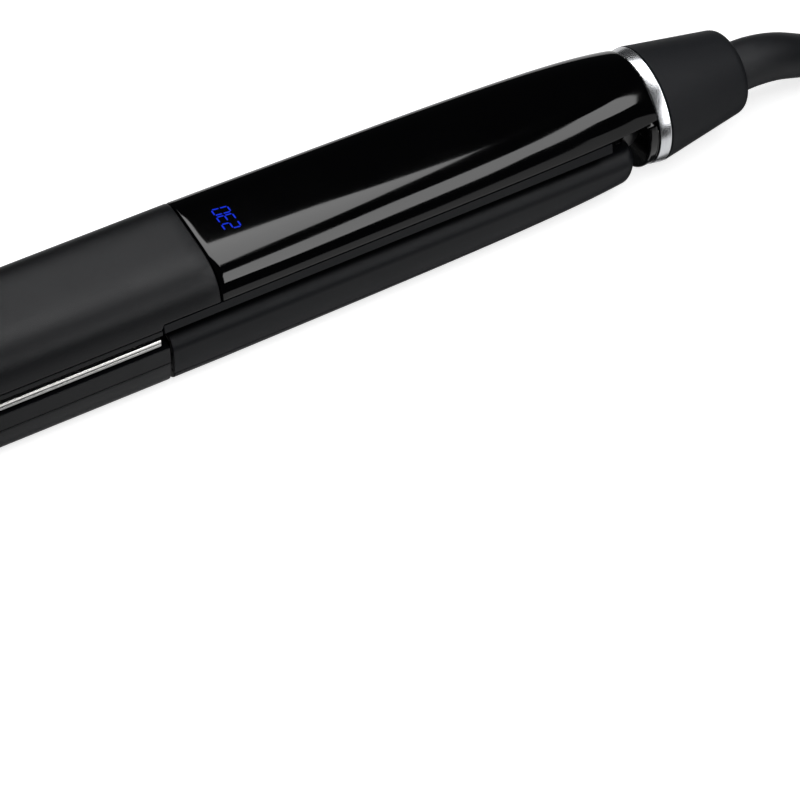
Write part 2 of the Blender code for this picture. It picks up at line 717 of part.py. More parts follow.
def cover_cavity_profile(x):
    outline = section(x, SHELL_WALL)
    floor = cover_floor_z(x) + COVER_FLOOR
    wide = half_width_at(LOWER_COVER_Z, outline)
    narrow = half_width_at(floor, outline) - GAP
    return mirrored([(wide, LOWER_COVER_Z + SIDE_LAP), (wide, LOWER_COVER_Z), (narrow, floor)])


def build_cover_screw(name, x):
    """A screw up through the cover, with the seat, the post and the bore that take it."""
    floor = cover_floor_z(x)
    foot = floor + COVER_FLOOR + GAP
    seat = floor + COVER_SCREW_SEAT
    centre, up = place(x, 0, 0), (0, 0, 1)
    bore = SCREW_SHANK_RADIUS + SCREW_CLEARANCE
    head_hole = SCREW_HEAD_RADIUS + SCREW_CLEARANCE
    hole_profile = [
        (floor - CUT_PAST, 0.0),
        (floor - CUT_PAST, head_hole),
        (seat, head_hole),
        (seat, bore),
        (foot + CUT_PAST, bore),
        (foot + CUT_PAST, 0.0),
    ]
    hole = turned(f"cutter_{name}", hole_profile, centre, up, None, steps=SMALL_STEPS)
    ceiling = LOWER_HANDLE_Z - SHELL_WALL / 2
    post = rod(f"cutter_post_{name}", centre, up, POST_RADIUS, foot, ceiling, None)
    post_bore = rod(f"cutter_bore_{name}", centre, up, bore, foot - CUT_PAST, POST_BORE_TOP_Z, None)
    screw_profile = [
        (floor + GAP, 0.0),
        (floor + GAP, SCREW_HEAD_RADIUS),
        (seat - GAP, SCREW_HEAD_RADIUS),
        (seat - GAP, SCREW_SHANK_RADIUS),
        (floor + COVER_SCREW_LENGTH, SCREW_SHANK_RADIUS),
        (floor + COVER_SCREW_LENGTH + COVER_SCREW_POINT, 0.0),
    ]
    turned(name, screw_profile, centre, up, STEEL, steps=SMALL_STEPS)
    return hole, post, post_bore


def build_lower_handle():
    """Shell, cover, screws and wires of the lower handle."""
    rounding = [LOWER_END - END_ROUNDING * share for share in (1.0, 0.5, 0.15, 0.0)]
    stations = [*np.linspace(LOWER_SEAM, LOWER_END - END_ROUNDING - JOIN, 6), *rounding]
    inner = np.linspace(LOWER_SEAM - JOIN, LOWER_END - SHELL_WALL, 7)
    shell = loft("lower_handle_shell", stations, lower_shell_outline, MATTE)
    cavity = loft("cutter_handle_cavity", inner, lambda x: lower_shell_outline(x, SHELL_WALL), None)
    notch_half = CHEEK_OUTER + CHEEK_CLEARANCE
    notch = box(
        "cutter_hinge_notch",
        (HINGE_X + NOTCH_FRONT, -notch_half, NOTCH_FLOOR_Z),
        (LOWER_END + CUT_PAST, notch_half, LOWER_HANDLE_Z + CUT_PAST),
        None,
    )
    cover = loft("lower_handle_cover", stations, lower_cover_profile, MATTE)
    hollow = loft("cutter_cover_cavity", inner, cover_cavity_profile, None)
    screws = itertools.starmap(build_cover_screw, COVER_SCREWS.items())
    holes, posts, bores = zip(*screws)
    combine(cover, [hollow, *holes], "DIFFERENCE")
    combine(shell, [cavity, notch], "DIFFERENCE", "MANIFOLD")
    combine(shell, posts, "UNION", "MANIFOLD")
    combine(shell, bores, "DIFFERENCE", "MANIFOLD")

    wires = [
        wire_start(-1),
        place(0.0, 0.0, LOWER_WIRE_Z + HEATER_WIRE_RADIUS),
        place(BOARD_START + LOWER_WIRE_Y, LOWER_WIRE_Y, LOWER_WIRE_Z),
        place(HINGE_X + FOOT_FRONT - CUT_PAST, LOWER_WIRE_Y, LOWER_WIRE_Z),
    ]
    tube("lower_heater_wires", wires, HEATER_WIRE_RADIUS, SILICONE)


# --- hinge ----------------------------------------------------------------------------------------


def hinge_point():
    return place(HINGE_X, 0, PLANE_Z)


def round_disc(x):
    """The disc before the ring: almost flush below, and drawn in where the gloss cover passes over it."""
    points = []
    lower = RING_RADIUS - DISC_SETBACK
    for step in range(ROUND_STEPS):
        turn = math.tau * (step + 0.5) / ROUND_STEPS
        under_cover = math.sin(turn) * lower >= UPPER_COVER_Z - DISC_TUCK
        radius = RING_RADIUS - SHELL_WALL - 3 * GAP if under_cover else lower
        points.append((radius * math.cos(turn), radius * math.sin(turn)))
    return points


def build_housing(arm, pin_bore):
    """The hinge housing: disc, pin barrel, tongue under the handle's base, and spigot for the collar."""
    disc_end = HANDLE_LENGTH - GAP
    disc_start = disc_end - DISC_THICKNESS
    housing = loft("hinge_housing", (disc_start, disc_end), round_disc, GLOSS, arm)
    axle = (0, 1, 0)
    barrel = rod("cutter_barrel", hinge_point(), axle, BARREL_RADIUS, BARREL_NEAR, BARREL_FAR, None)
    block = box(
        "cutter_block",
        (HINGE_X, BARREL_NEAR, PLANE_Z - BARREL_BLOCK_DROP),
        (disc_start + JOIN, BARREL_FAR, TONGUE_HIGH_Z - GAP),
        None,
    )
    tongue = box(
        "cutter_tongue",
        (BASE_END - TONGUE_FRONT, -TONGUE_HALF_WIDTH, TONGUE_LOW_Z),
        (disc_start + JOIN + GAP, TONGUE_HALF_WIDTH, TONGUE_HIGH_Z),
        None,
    )
    spigot_profile = [
        (disc_end - JOIN, SPIGOT_INNER),
        (disc_end - JOIN, SPIGOT_OUTER),
        (RING_END + SPIGOT_REACH, SPIGOT_OUTER),
        (RING_END + SPIGOT_REACH, SPIGOT_INNER),
    ]
    spigot = turned("cutter_spigot", spigot_profile, place(0, 0, 0), (1, 0, 0), None)
    combine(housing, [block, barrel, tongue, spigot], "UNION")
    wire_hole = rod(
        "cutter_wire_hole",
        place(0, 0, WIRE_Z),
        (1, 0, 0),
        WIRE_RADIUS + 2 * GAP,
        disc_start - CUT_PAST,
        disc_end + CUT_PAST,
        None,
    )
    radius = SCREW_SHANK_RADIUS + SCREW_CLEARANCE
    low, high = TONGUE_LOW_Z - CUT_PAST, TONGUE_HIGH_Z + CUT_PAST
    screw_holes = [
        rod(f"cutter_hole_{name}", place(TONGUE_SCREW_X, y, 0), (0, 0, 1), radius, low, high, None)
        for name, y in TONGUE_SCREWS.items()
    ]
    combine(housing, [pin_bore, wire_hole, *screw_holes], "DIFFERENCE")


def build_tongue_screws(arm):
    """The screws that hold the hinge housing's tongue down on the handle's base."""
    low, head = UPPER_BASE_Z + GAP, TONGUE_HIGH_Z + GAP
    profile = [
        (low, 0.0),
        (low, SCREW_SHANK_RADIUS),
        (head, SCREW_SHANK_RADIUS),
        (head, SCREW_HEAD_RADIUS),
        (head + SCREW_HEAD_THICKNESS, SCREW_HEAD_RADIUS),
        (head + SCREW_HEAD_THICKNESS, 0.0),
    ]
    for name, y in TONGUE_SCREWS.items():
        turned(name, profile, place(TONGUE_SCREW_X, y, 0), (0, 0, 1), STEEL, arm, SMALL_STEPS)


def build_bracket(pin_bore):
    """The lower arm's bracket: a foot and two cheeks that hold the pin's ends."""
    crook = [
        (CHEEK_RADIUS * math.cos(turn), PLANE_Z + CHEEK_RADIUS * math.sin(turn))
        for turn in np.radians(np.linspace(*CHEEK_ARC, 9))
    ]
    cheek = [(HINGE_X + x, z) for x, z in [*CHEEK_REAR, *crook, *CHEEK_FRONT]]
    bracket = extruded("hinge_bracket", cheek, CHEEK_INNER, CHEEK_OUTER, STEEL)
    near_cheek = extruded("cutter_cheek", cheek, -CHEEK_OUTER, -CHEEK_INNER, None)
    foot_half = CHEEK_OUTER - GAP
    foot = box(
        "cutter_foot",
        (HINGE_X + FOOT_FRONT, -foot_half, FOOT_LOW_Z + GAP / 2),
        (HINGE_X + FOOT_REAR, foot_half, FOOT_LOW_Z + FOOT_THICKNESS),
        None,
    )
    combine(bracket, [foot, near_cheek], "UNION")
    combine(bracket, [pin_bore], "DIFFERENCE")


def build_spring():
    """A torsion spring round the pin, with a leg on the bracket's foot and one under the handle."""
    first = BARREL_FAR + 1.5 * SPRING_WIRE + GAP
    last = CHEEK_INNER - 1.5 * SPRING_WIRE - GAP
    points = []
    for share in np.linspace(0, 1, SPRING_TURNS * 12 + 1):
        turn = math.pi + math.tau * SPRING_TURNS * share
        x, z = SPRING_RADIUS * math.cos(turn), SPRING_RADIUS * math.sin(turn)
        points.append(place(HINGE_X + x, first + (last - first) * share, PLANE_Z + z))
    legs = [place(HINGE_X + x, y, PLANE_Z + z) for (x, z), y in zip(SPRING_LEGS, (first, last))]
    tube("opening_spring", [legs[0], *points, legs[1]], SPRING_WIRE, STEEL)


def build_hinge(arm):
    """Hinge housing on the upper arm, bracket on the lower arm, and the pin, spring and screws."""
    axle, bore = (0, 1, 0), PIN_RADIUS + PIN_CLEARANCE
    pin_bore = rod("cutter_pin_bore", hinge_point(), axle, bore, -HALF_WIDTH, HALF_WIDTH, None)
    build_housing(arm, pin_bore)
    build_tongue_screws(arm)
    rod("hinge_pin", hinge_point(), axle, PIN_RADIUS, -PIN_HALF_LENGTH, PIN_HALF_LENGTH, STEEL)
    build_bracket(pin_bore)
    build_spring()


# --- ring, collar and swivel ----------------------------------------------------------------------


def collar_radius(x):
    share = (x - RING_END) / COLLAR_LENGTH
    return RING_RADIUS + (COLLAR_END_RADIUS - RING_RADIUS) * share


def build_ring(arm):
    """The silver ring between the handle and the collar."""
    inner = SPIGOT_OUTER + GAP
    profile = [
        (HANDLE_LENGTH, inner),
        (HANDLE_LENGTH, RING_RADIUS - RING_CHAMFER),
        (HANDLE_LENGTH + RING_CHAMFER, RING_RADIUS),
        (RING_END - RING_CHAMFER, RING_RADIUS),
        (RING_END, RING_RADIUS - RING_CHAMFER),
        (RING_END, inner),
    ]
    turned("silver_ring", profile, place(0, 0, 0), (1, 0, 0), SILVER, arm)


def build_collar(arm):
    """The tapered collar, the swivel barrel that turns in it, and the retainer that holds the barrel."""
    axis, along = place(0, 0, 0), (1, 0, 0)
    start, step_x = RING_END + GAP, SWIVEL_BORE_END
    shoulder = COLLAR_END - COLLAR_ROUNDING
    rounded = [
        (
            shoulder + COLLAR_ROUNDING * math.sin(turn),
            collar_radius(shoulder) - COLLAR_ROUNDING * (1 - math.cos(turn)),
        )
        for turn in np.radians((0, 30, 60, 90))
    ]
    collar_profile = [
        (start, collar_radius(start) - COLLAR_WALL),
        (start, collar_radius(start)),
        *rounded,
        (COLLAR_END, EXIT_RADIUS),
        (step_x, EXIT_RADIUS),
        (step_x, collar_radius(step_x) - COLLAR_WALL),
    ]
    turned("collar", collar_profile, axis, along, MATTE, arm)
    flange_end = step_x - GAP
    flange_start = flange_end - SWIVEL_FLANGE
    retainer_end = flange_start - GAP
    retainer_start = retainer_end - RETAINER_THICKNESS
    inner = SWIVEL_TUBE_RADIUS + SWIVEL_CLEARANCE
    outer = collar_radius(retainer_end) - COLLAR_WALL - GAP
    retainer_profile = [
        (retainer_start, inner),
        (retainer_start, outer),
        (retainer_end, outer),
        (retainer_end, inner),
    ]
    turned("swivel_retainer", retainer_profile, axis, along, NYLON, arm)
    swivel = joint_at("cord_swivel_joint", place(COLLAR_END, 0, 0), arm)
    neck = EXIT_RADIUS - SWIVEL_CLEARANCE
    flange = collar_radius(COLLAR_END) - COLLAR_WALL - SWIVEL_CLEARANCE
    barrel_profile = [
        (retainer_start - SWIVEL_REACH, SWIVEL_BORE),
        (retainer_start - SWIVEL_REACH, SWIVEL_TUBE_RADIUS),
        (flange_start, SWIVEL_TUBE_RADIUS),
        (flange_start, flange),
        (flange_end, flange),
        (flange_end, neck),
        (COLLAR_END - GAP, neck),
        (COLLAR_END - GAP, SWIVEL_BORE),
    ]
    turned("swivel_barrel", barrel_profile, axis, along, NYLON, swivel)


# --- cord -----------------------------------------------------------------------------------------


def routed(points):
    """A route's points in the part's frame, counted forward from the collar's end."""
    return [(x + COLLAR_END + SEAM_X, y, z) for x, y, z in points]


def build_boot(line):
    """The tapering boot over the cord's first stretch, straight out of the collar and then bending down."""
    taper = [3 * share**2 - 2 * share**3 for share in np.linspace(0, 1, len(line))]
    radii = [BOOT_START_RADIUS + (BOOT_END_RADIUS - BOOT_START_RADIUS) * share for share in taper]
    swept("cord_boot", line, radii, CORD)


def hank_outer_radius():
    return HANK_INNER_RADIUS + (2 * HANK_TURNS_ACROSS - 1) * CORD_RADIUS


def hank_turn_radius():
    """Of the centreline of the outermost turn at the hank's ends."""
    return hank_outer_radius() - CORD_RADIUS


def build_hank(centre_x, centre_y):
    """The outer shape of the folded cord: a rectangular section carried round two runs and two ends."""
    outer, inner = hank_outer_radius(), HANK_INNER_RADIUS - CORD_RADIUS
    low, high = GAP / 3, HANK_LAYERS * 2 * CORD_RADIUS + GAP
    bevel = CORD_RADIUS * HANK_CORNER
    profile = [
        (inner + bevel, low),
        (outer - bevel, low),
        (outer, low + bevel),
        (outer, high - bevel),
        (outer - bevel, high),
        (inner + bevel, high),
        (inner, high - bevel),
        (inner, low + bevel),
    ]
    rings = []
    for end_x, first in ((centre_x + HANK_RUN, -math.pi / 2), (centre_x, math.pi / 2)):
        for step in range(HANK_END_STEPS + 1):
            turn = first + math.pi * step / HANK_END_STEPS
            way = Vector((math.cos(turn), math.sin(turn), 0))
            rings.append([Vector((end_x, centre_y, z)) + way * radius for radius, z in profile])
    finish("cord_hank", skin(bmesh.new(), rings, closed=True), CORD)


def build_cord():
    """Boot, free cord, hank and plug, laid on the resting surface."""
    line = smooth_route(routed(ROUTE_OUT), ROUTE_SPACING)
    boot_points = round(BOOT_SHARE / ROUTE_SPACING)
    boot, after = line[: boot_points + 1], line[boot_points + 1]
    build_boot(boot)

    hank_start = Vector(routed(ROUTE_OUT)[-1])
    hank_y = hank_start.y - hank_turn_radius()
    build_hank(hank_start.x, hank_y)
    side_reach = hank_turn_radius() - CORD_RADIUS
    lead_x = hank_start.x - math.sqrt((hank_outer_radius() + GAP) ** 2 - side_reach**2)
    lead = [point for point in line[boot_points + 1 :: 2] if point.x < lead_x - CORD_RADIUS]
    lead_start = boot[-1] + (after - boot[-1]).normalized() * GAP
    lead_end = Vector((lead_x, hank_start.y, hank_start.z))
    tube("cord_lead", [lead_start, *lead, lead_end], CORD_RADIUS, CORD, resolution=3)

    back = smooth_route(routed(ROUTE_BACK), CORD_SPACING)
    tube("cord_tail", back, CORD_RADIUS, CORD, resolution=3)
    build_plug(back[-1] - Vector((2 * GAP, 0, 0)))


def rounded_oblong(centre, half_width, half_thickness):
    """A superellipse across the cord's axis, as points round it."""
    points = []
    for step in range(PLUG_STEPS):
        turn = math.tau * (step + 0.5) / PLUG_STEPS
        across = math.copysign(abs(math.cos(turn)) ** PLUG_ROUNDING, math.cos(turn)) * half_width
        up = math.copysign(abs(math.sin(turn)) ** PLUG_ROUNDING, math.sin(turn)) * half_thickness
        points.append(centre + Vector((0, across, up)))
    return points


def build_plug(cord_end):
    """A flat two-pin plug whose pins point towards -X."""
    rings = [
        rounded_oblong(cord_end - Vector((back, 0, 0)), half_width, half_thickness)
        for back, half_width, half_thickness in PLUG_PROFILE
    ]
    finish("plug_body", skin(bmesh.new(), rings), CORD)
    pin_profile = [
        (0.0, 0.0),
        (0.0, PLUG_PIN_RADIUS),
        (PLUG_PIN_LENGTH - PLUG_PIN_TIP, PLUG_PIN_RADIUS),
        (PLUG_PIN_LENGTH, PLUG_PIN_RADIUS / 2),
        (PLUG_PIN_LENGTH, 0.0),
    ]
    face = cord_end - Vector((PLUG_RELIEF + PLUG_LENGTH + GAP, 0, 0))
    for side, name in ((-1, "plug_pin_near"), (1, "plug_pin_far")):
        centre = face + Vector((0, side * PLUG_PIN_SPACING / 2, 0))
        turned(name, pin_profile, centre, (-1, 0, 0), STEEL, steps=SMALL_STEPS)


def main():
    for old in list(bpy.data.objects):
        bpy.data.objects.remove(old, do_unlink=True)
    arm = joint_at("arm_hinge_joint", hinge_point())
    upper_plate = joint_at("upper_plate_joint", place(PLATE_END, 0, PLANE_Z), arm)
    lower_plate = joint_at("lower_plate_joint", place(PLATE_END, 0, PLANE_Z))
    build_front(1, "upper", arm, upper_plate)
    build_front(-1, "lower", None, lower_plate)
    build_upper_handle(arm)
    build_buttons(arm)
    build_lower_handle()
    build_hinge(arm)
    build_ring(arm)
    build_collar(arm)
    build_cord()


main()
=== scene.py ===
"""Hair straightener with a display handle and a swivelling mains lead: its visible pieces and its studio.

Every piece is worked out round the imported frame, in metres, with X along the body towards the lead and
Z up. The body's cross-section is a superellipse that turns into a circle at the silver ring, and each
shell, cap and cover is a stretch of that surface with a wall, rounded edges and its own finish.
"""

from __future__ import annotations

import logging
import math
from dataclasses import dataclass, field
from enum import Enum
from typing import Iterable, Sequence

import bmesh
import bpy
import numpy as np
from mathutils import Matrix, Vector

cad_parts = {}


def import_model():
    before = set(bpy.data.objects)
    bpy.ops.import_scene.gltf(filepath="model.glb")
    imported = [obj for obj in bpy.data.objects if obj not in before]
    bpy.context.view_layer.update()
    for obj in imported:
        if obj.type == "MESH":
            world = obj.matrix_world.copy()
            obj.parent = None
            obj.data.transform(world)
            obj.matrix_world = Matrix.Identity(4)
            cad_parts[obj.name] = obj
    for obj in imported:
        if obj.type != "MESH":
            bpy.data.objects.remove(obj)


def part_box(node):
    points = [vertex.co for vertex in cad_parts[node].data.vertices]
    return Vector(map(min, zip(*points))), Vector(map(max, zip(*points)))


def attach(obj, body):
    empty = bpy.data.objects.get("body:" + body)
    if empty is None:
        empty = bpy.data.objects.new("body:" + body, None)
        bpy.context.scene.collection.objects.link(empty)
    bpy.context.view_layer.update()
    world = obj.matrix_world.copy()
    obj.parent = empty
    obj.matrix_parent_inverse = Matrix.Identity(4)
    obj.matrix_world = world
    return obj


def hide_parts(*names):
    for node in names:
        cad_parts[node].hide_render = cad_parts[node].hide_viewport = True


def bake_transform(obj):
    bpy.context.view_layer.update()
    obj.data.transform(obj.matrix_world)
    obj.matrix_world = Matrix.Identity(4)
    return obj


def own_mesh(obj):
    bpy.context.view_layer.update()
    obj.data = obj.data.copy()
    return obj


LOG = logging.getLogger("straightener")
Grid = np.ndarray
Measure = np.ndarray | float
Colour = tuple[float, float, float]
GAP = 0.0003  # the frame's clearance between pieces that touch
MILLIMETRE = 0.001
CREASE = math.radians(38)  # faces that meet at more than this stay sharp


class Body(Enum):
    """The rigid bodies of the frame that pieces ride on."""

    LOWER = "lower_arm"
    UPPER = "upper_arm"
    UPPER_PLATE = "upper_plate_body"
    LOWER_PLATE = "lower_plate_body"
    POWER = "power_key"
    MINUS = "minus_key"
    PLUS = "plus_key"
    SWIVEL = "cord_swivel"


class Side(Enum):
    """Which half of the body a piece belongs to: its sign is the direction of its crown."""

    UPPER = 1
    LOWER = -1


# --- shader building ------------------------------------------------------------------------------


class Board:
    """A node tree being wired up, with short calls to add and join nodes."""

    def __init__(self, tree: bpy.types.NodeTree) -> None:
        """Keeps the tree.

        Args:
            tree: the node tree of a material or a group.
        """
        self.tree = tree

    def add(self, kind: str, settings: dict | None = None, **inputs: object) -> bpy.types.Node:
        """Adds a node, sets its properties and its inputs by name, and joins inputs given as sockets.

        Args:
            kind: the node's type name without the leading ShaderNode.
            settings: properties of the node itself.
            inputs: values or output sockets; underscores in a name stand for spaces.

        Returns:
            The new node.
        """
        name = kind if kind.startswith("NodeGroup") else f"ShaderNode{kind}"
        node = self.tree.nodes.new(name)
        for key, value in (settings or {}).items():
            setattr(node, key, value)
        for key, value in inputs.items():
            self.feed(node, key.replace("_", " "), value)
        return node

    def feed(self, node: bpy.types.Node, key: str | int, value: object) -> None:
        """Sets or joins one input of a node.

        Args:
            node: the node.
            key: the input's name or its number.
            value: a number, a colour, or another node's output socket.
        """
        if isinstance(value, bpy.types.NodeSocket):
            self.tree.links.new(value, node.inputs[key])
        else:
            node.inputs[key].default_value = value

    def tint(self, share: object, low: object, high: object) -> bpy.types.NodeSocket:
        """Mixes two colours.

        Args:
            share: how much of the second colour, a number or a socket.
            low: the colour at share 0, a colour or a socket.
            high: the colour at share 1, a colour or a socket.

        Returns:
            The mixed colour's socket.
        """
        node = self.add("Mix", {"data_type": "RGBA"})
        for key, value in ((0, share), (6, low), (7, high)):
            self.feed(node, key, value)
        return node.outputs[2]

    def range(self, value: object, low: object, high: object) -> bpy.types.NodeSocket:
        """Maps a pattern that runs from 0 to 1 onto the numbers from low to high.

        Args:
            value: the pattern's socket.
            low: the number at 0, a value or a socket.
            high: the number at 1, a value or a socket.

        Returns:
            The mapped number's socket.
        """
        node = self.add("MapRange", Value=value)
        self.feed(node, "To Min", low)
        self.feed(node, "To Max", high)
        return node.outputs[0]

    def math(self, operation: str, first: object, second: object) -> bpy.types.NodeSocket:
        """Combines two numbers.

        Args:
            operation: the name of the operation, such as MULTIPLY.
            first: a number or a socket.
            second: a number or a socket.

        Returns:
            The result's socket.
        """
        node = self.add("Math", {"operation": operation})
        self.feed(node, 0, first)
        self.feed(node, 1, second)
        return node.outputs[0]


def group(name: str, inputs: dict[str, str], outputs: dict[str, str]) -> tuple[Board, dict, dict]:
    """Starts a shader node group with named sockets.

    Args:
        name: the group's name.
        inputs: input names and their socket kinds.
        outputs: output names and their socket kinds.

    Returns:
        The group's board, the sockets that its inputs arrive on, and the sockets that its outputs take.
    """
    tree = bpy.data.node_groups.new(name, "ShaderNodeTree")
    for names, way in ((inputs, "INPUT"), (outputs, "OUTPUT")):
        for label, kind in names.items():
            tree.interface.new_socket(label, in_out=way, socket_type=f"NodeSocket{kind}")
    board = Board(tree)
    start, end = board.add("NodeGroupInput"), board.add("NodeGroupOutput")
    return board, {k: start.outputs[k] for k in inputs}, {k: end.inputs[k] for k in outputs}


def grain_group() -> bpy.types.NodeTree:
    """The fine spark-eroded grain of moulded plastic, with slow mottling from handling.

    Returns:
        A group from colour, roughness, grain scale and depth to colour, roughness and normal.
    """
    found = bpy.data.node_groups.get("moulded_grain")
    if found:
        return found
    board, given, made = group(
        "moulded_grain",
        {"Colour": "Color", "Roughness": "Float", "Scale": "Float", "Depth": "Float"},
        {"Colour": "Color", "Roughness": "Float", "Normal": "Vector"},
    )
    place = board.add("TexCoord").outputs["Object"]
    grain = board.add("TexNoise", Vector=place, Scale=given["Scale"], Detail=3.0, Roughness=0.6).outputs[0]
    mottle = board.add("TexNoise", Vector=place, Scale=70.0, Detail=4.0, Roughness=0.55).outputs[0]
    shade = board.range(grain, 0.72, 1.28)
    lighter = board.add("VectorMath", {"operation": "SCALE"})
    board.feed(lighter, 0, given["Colour"])
    board.feed(lighter, "Scale", shade)
    low = board.math("SUBTRACT", given["Roughness"], 0.04)
    high = board.math("ADD", given["Roughness"], 0.05)
    bump = board.add("Bump", Height=grain, Strength=given["Depth"], Distance=0.00012)
    board.tree.links.new(lighter.outputs[0], made["Colour"])
    board.tree.links.new(board.range(mottle, low, high), made["Roughness"])
    board.tree.links.new(bump.outputs[0], made["Normal"])
    return board.tree


def brushed_group() -> bpy.types.NodeTree:
    """Fine lines left by turning or grinding, drawn along the directions that the scale keeps small.

    Returns:
        A group from colour, roughness, depth and a scale for each direction to colour, roughness and normal.
    """
    found = bpy.data.node_groups.get("brushed_lines")
    if found:
        return found
    board, given, made = group(
        "brushed_lines",
        {"Colour": "Color", "Roughness": "Float", "Scale": "Vector", "Depth": "Float"},
        {"Colour": "Color", "Roughness": "Float", "Normal": "Vector"},
    )
    place = board.add("TexCoord").outputs["Object"]
    stretched = board.add("Mapping", Vector=place, Scale=given["Scale"]).outputs[0]
    lines = board.add("TexNoise", Vector=stretched, Scale=1.0, Detail=5.0, Roughness=0.65).outputs[0]
    shade = board.add("VectorMath", {"operation": "SCALE"})
    board.feed(shade, 0, given["Colour"])
    board.feed(shade, "Scale", board.range(lines, 0.86, 1.12))
    low = board.math("MULTIPLY", given["Roughness"], 0.8)
    high = board.math("MULTIPLY", given["Roughness"], 1.25)
    bump = board.add("Bump", Height=lines, Strength=given["Depth"], Distance=0.00005)
    board.tree.links.new(shade.outputs[0], made["Colour"])
    board.tree.links.new(board.range(lines, low, high), made["Roughness"])
    board.tree.links.new(bump.outputs[0], made["Normal"])
    return board.tree


@dataclass(frozen=True)
class Finish:
    """One surface finish: a colour with a shared surface effect, and the plain values of its shader."""

    name: str
    colour: Colour
    roughness: float
    metallic: float = 0.0
    specular: float = 0.5
    depth: float = 0.25
    scale: float = 5200.0
    coat: float = 0.0

    def surface(self, board: Board) -> bpy.types.Node:
        """Adds the effect that this finish reads its colour, roughness and normal from.

        Args:
            board: the material's node tree.

        Returns:
            The group node.
        """
        return board.add("Group", {"node_tree": grain_group()}, Scale=self.scale)

    def build(self) -> bpy.types.Material:
        """Makes the material, or finds it if it was made before.

        Returns:
            The material.
        """
        found = bpy.data.materials.get(self.name)
        if found:
            return found
        made = bpy.data.materials.new(self.name)
        made.use_nodes = True
        made.diffuse_color = (*self.colour, 1.0)
        board = Board(made.node_tree)
        shader = made.node_tree.nodes["Principled BSDF"]
        effect = self.surface(board)
        effect.inputs["Colour"].default_value = (*self.colour, 1.0)
        effect.inputs["Roughness"].default_value = self.roughness
        effect.inputs["Depth"].default_value = self.depth
        board.feed(shader, "Base Color", effect.outputs["Colour"])
        board.feed(shader, "Roughness", effect.outputs["Roughness"])
        board.feed(shader, "Normal", effect.outputs["Normal"])
        shader.inputs["Metallic"].default_value = self.metallic
        shader.inputs["Specular IOR Level"].default_value = self.specular
        shader.inputs["Coat Weight"].default_value = self.coat
        shader.inputs["Coat Roughness"].default_value = 0.05
        return made


@dataclass(frozen=True)
class Brushed(Finish):
    """A metal with lines left by its making, finer across them than along them."""

    lines: tuple[float, float, float] = (60.0, 60.0, 60.0)

    def surface(self, board: Board) -> bpy.types.Node:
        """Adds the brushed lines, which run along the directions with a small scale.

        Args:
            board: the material's node tree.

        Returns:
            The group node.
        """
        node = board.add("Group", {"node_tree": brushed_group()})
        node.inputs["Scale"].default_value = self.lines
        return node


@dataclass(frozen=True)
class Glow:
    """A lit mark behind a dark lens: it shines and still carries the lens's gloss."""

    name: str
    colour: Colour
    strength: float

    def build(self) -> bpy.types.Material:
        """Makes the material, its glow mixed between a dimmer and the full colour by a fine noise.

        Returns:
            The material.
        """
        made = bpy.data.materials.new(self.name)
        made.use_nodes = True
        board = Board(made.node_tree)
        shader = made.node_tree.nodes["Principled BSDF"]
        place = board.add("TexCoord").outputs["Object"]
        speck = board.add("TexNoise", Vector=place, Scale=2400.0, Detail=2.0).outputs[0]
        dim = tuple(0.72 * c for c in self.colour)
        board.feed(shader, "Emission Color", board.tint(speck, (*dim, 1.0), (*self.colour, 1.0)))
        shader.inputs["Emission Strength"].default_value = self.strength
        shader.inputs["Base Color"].default_value = (0.002, 0.002, 0.004, 1.0)
        shader.inputs["Roughness"].default_value = 0.08
        shader.inputs["Specular IOR Level"].default_value = 0.25
        return made


MATTE_SHELL = Finish("matte_shell", (0.0026, 0.0030, 0.0042), 0.40, specular=0.21, depth=0.30, scale=4200.0)
SATIN_RAIL = Finish("satin_rail", (0.0026, 0.0030, 0.0040), 0.38, specular=0.17, depth=0.16, scale=6000.0)
SATIN_HANDLE = Finish("satin_handle", (0.0030, 0.0036, 0.0052), 0.42, specular=0.13, depth=0.20)
MATTE_COLLAR = Finish("matte_collar", (0.0085, 0.0093, 0.0115), 0.55, specular=0.16, depth=0.14)
GLOSS_COVER = Finish("gloss_cover", (0.0006, 0.0006, 0.0008), 0.055, specular=0.25, depth=0.0, scale=900.0)
GLOSS_HINGE = Finish("gloss_hinge", (0.0012, 0.0012, 0.0014), 0.10, specular=0.35, depth=0.0, scale=900.0)
SATIN_SILVER = Brushed(
    "satin_silver", (0.60, 0.61, 0.63), 0.24, metallic=1.0, depth=0.10, lines=(9000.0, 90.0, 90.0)
)
COATED_PLATE = Brushed(
    "coated_plate", (0.80, 0.79, 0.77), 0.20, metallic=1.0, depth=0.06, lines=(60.0, 5200.0, 700.0)
)
# the lower plate: the same coated metal as the upper plate, its colour darkened as painted shade
PAINTED_SHADE_PLATE = Brushed(
    "painted_shade_plate", (0.34, 0.34, 0.335), 0.26, metallic=1.0, depth=0.06, lines=(60.0, 5200.0, 700.0)
)
ZINC_STEEL = Brushed(
    "zinc_steel", (0.56, 0.56, 0.57), 0.33, metallic=1.0, depth=0.16, lines=(500.0, 4200.0, 500.0)
)
NICKEL_PIN = Brushed(
    "nickel_pin", (0.66, 0.64, 0.60), 0.18, metallic=1.0, depth=0.08, lines=(90.0, 6500.0, 6500.0)
)
KEY_NYLON = Finish("key_nylon", (0.020, 0.020, 0.022), 0.48, depth=0.20)
SWIVEL_NYLON = Finish("swivel_nylon", (0.0100, 0.0100, 0.0110), 0.50, depth=0.15)
LEAD_SHEATH = Finish("lead_sheath", (0.0075, 0.0080, 0.0098), 0.46, specular=0.22, depth=0.35, scale=1500.0)
BOOT_RUBBER = Finish("boot_rubber", (0.0080, 0.0087, 0.0108), 0.50, specular=0.22, depth=0.20, scale=3600.0)
PLUG_PLASTIC = Finish("plug_plastic", (0.0080, 0.0084, 0.0098), 0.42, specular=0.3, scale=3000.0)
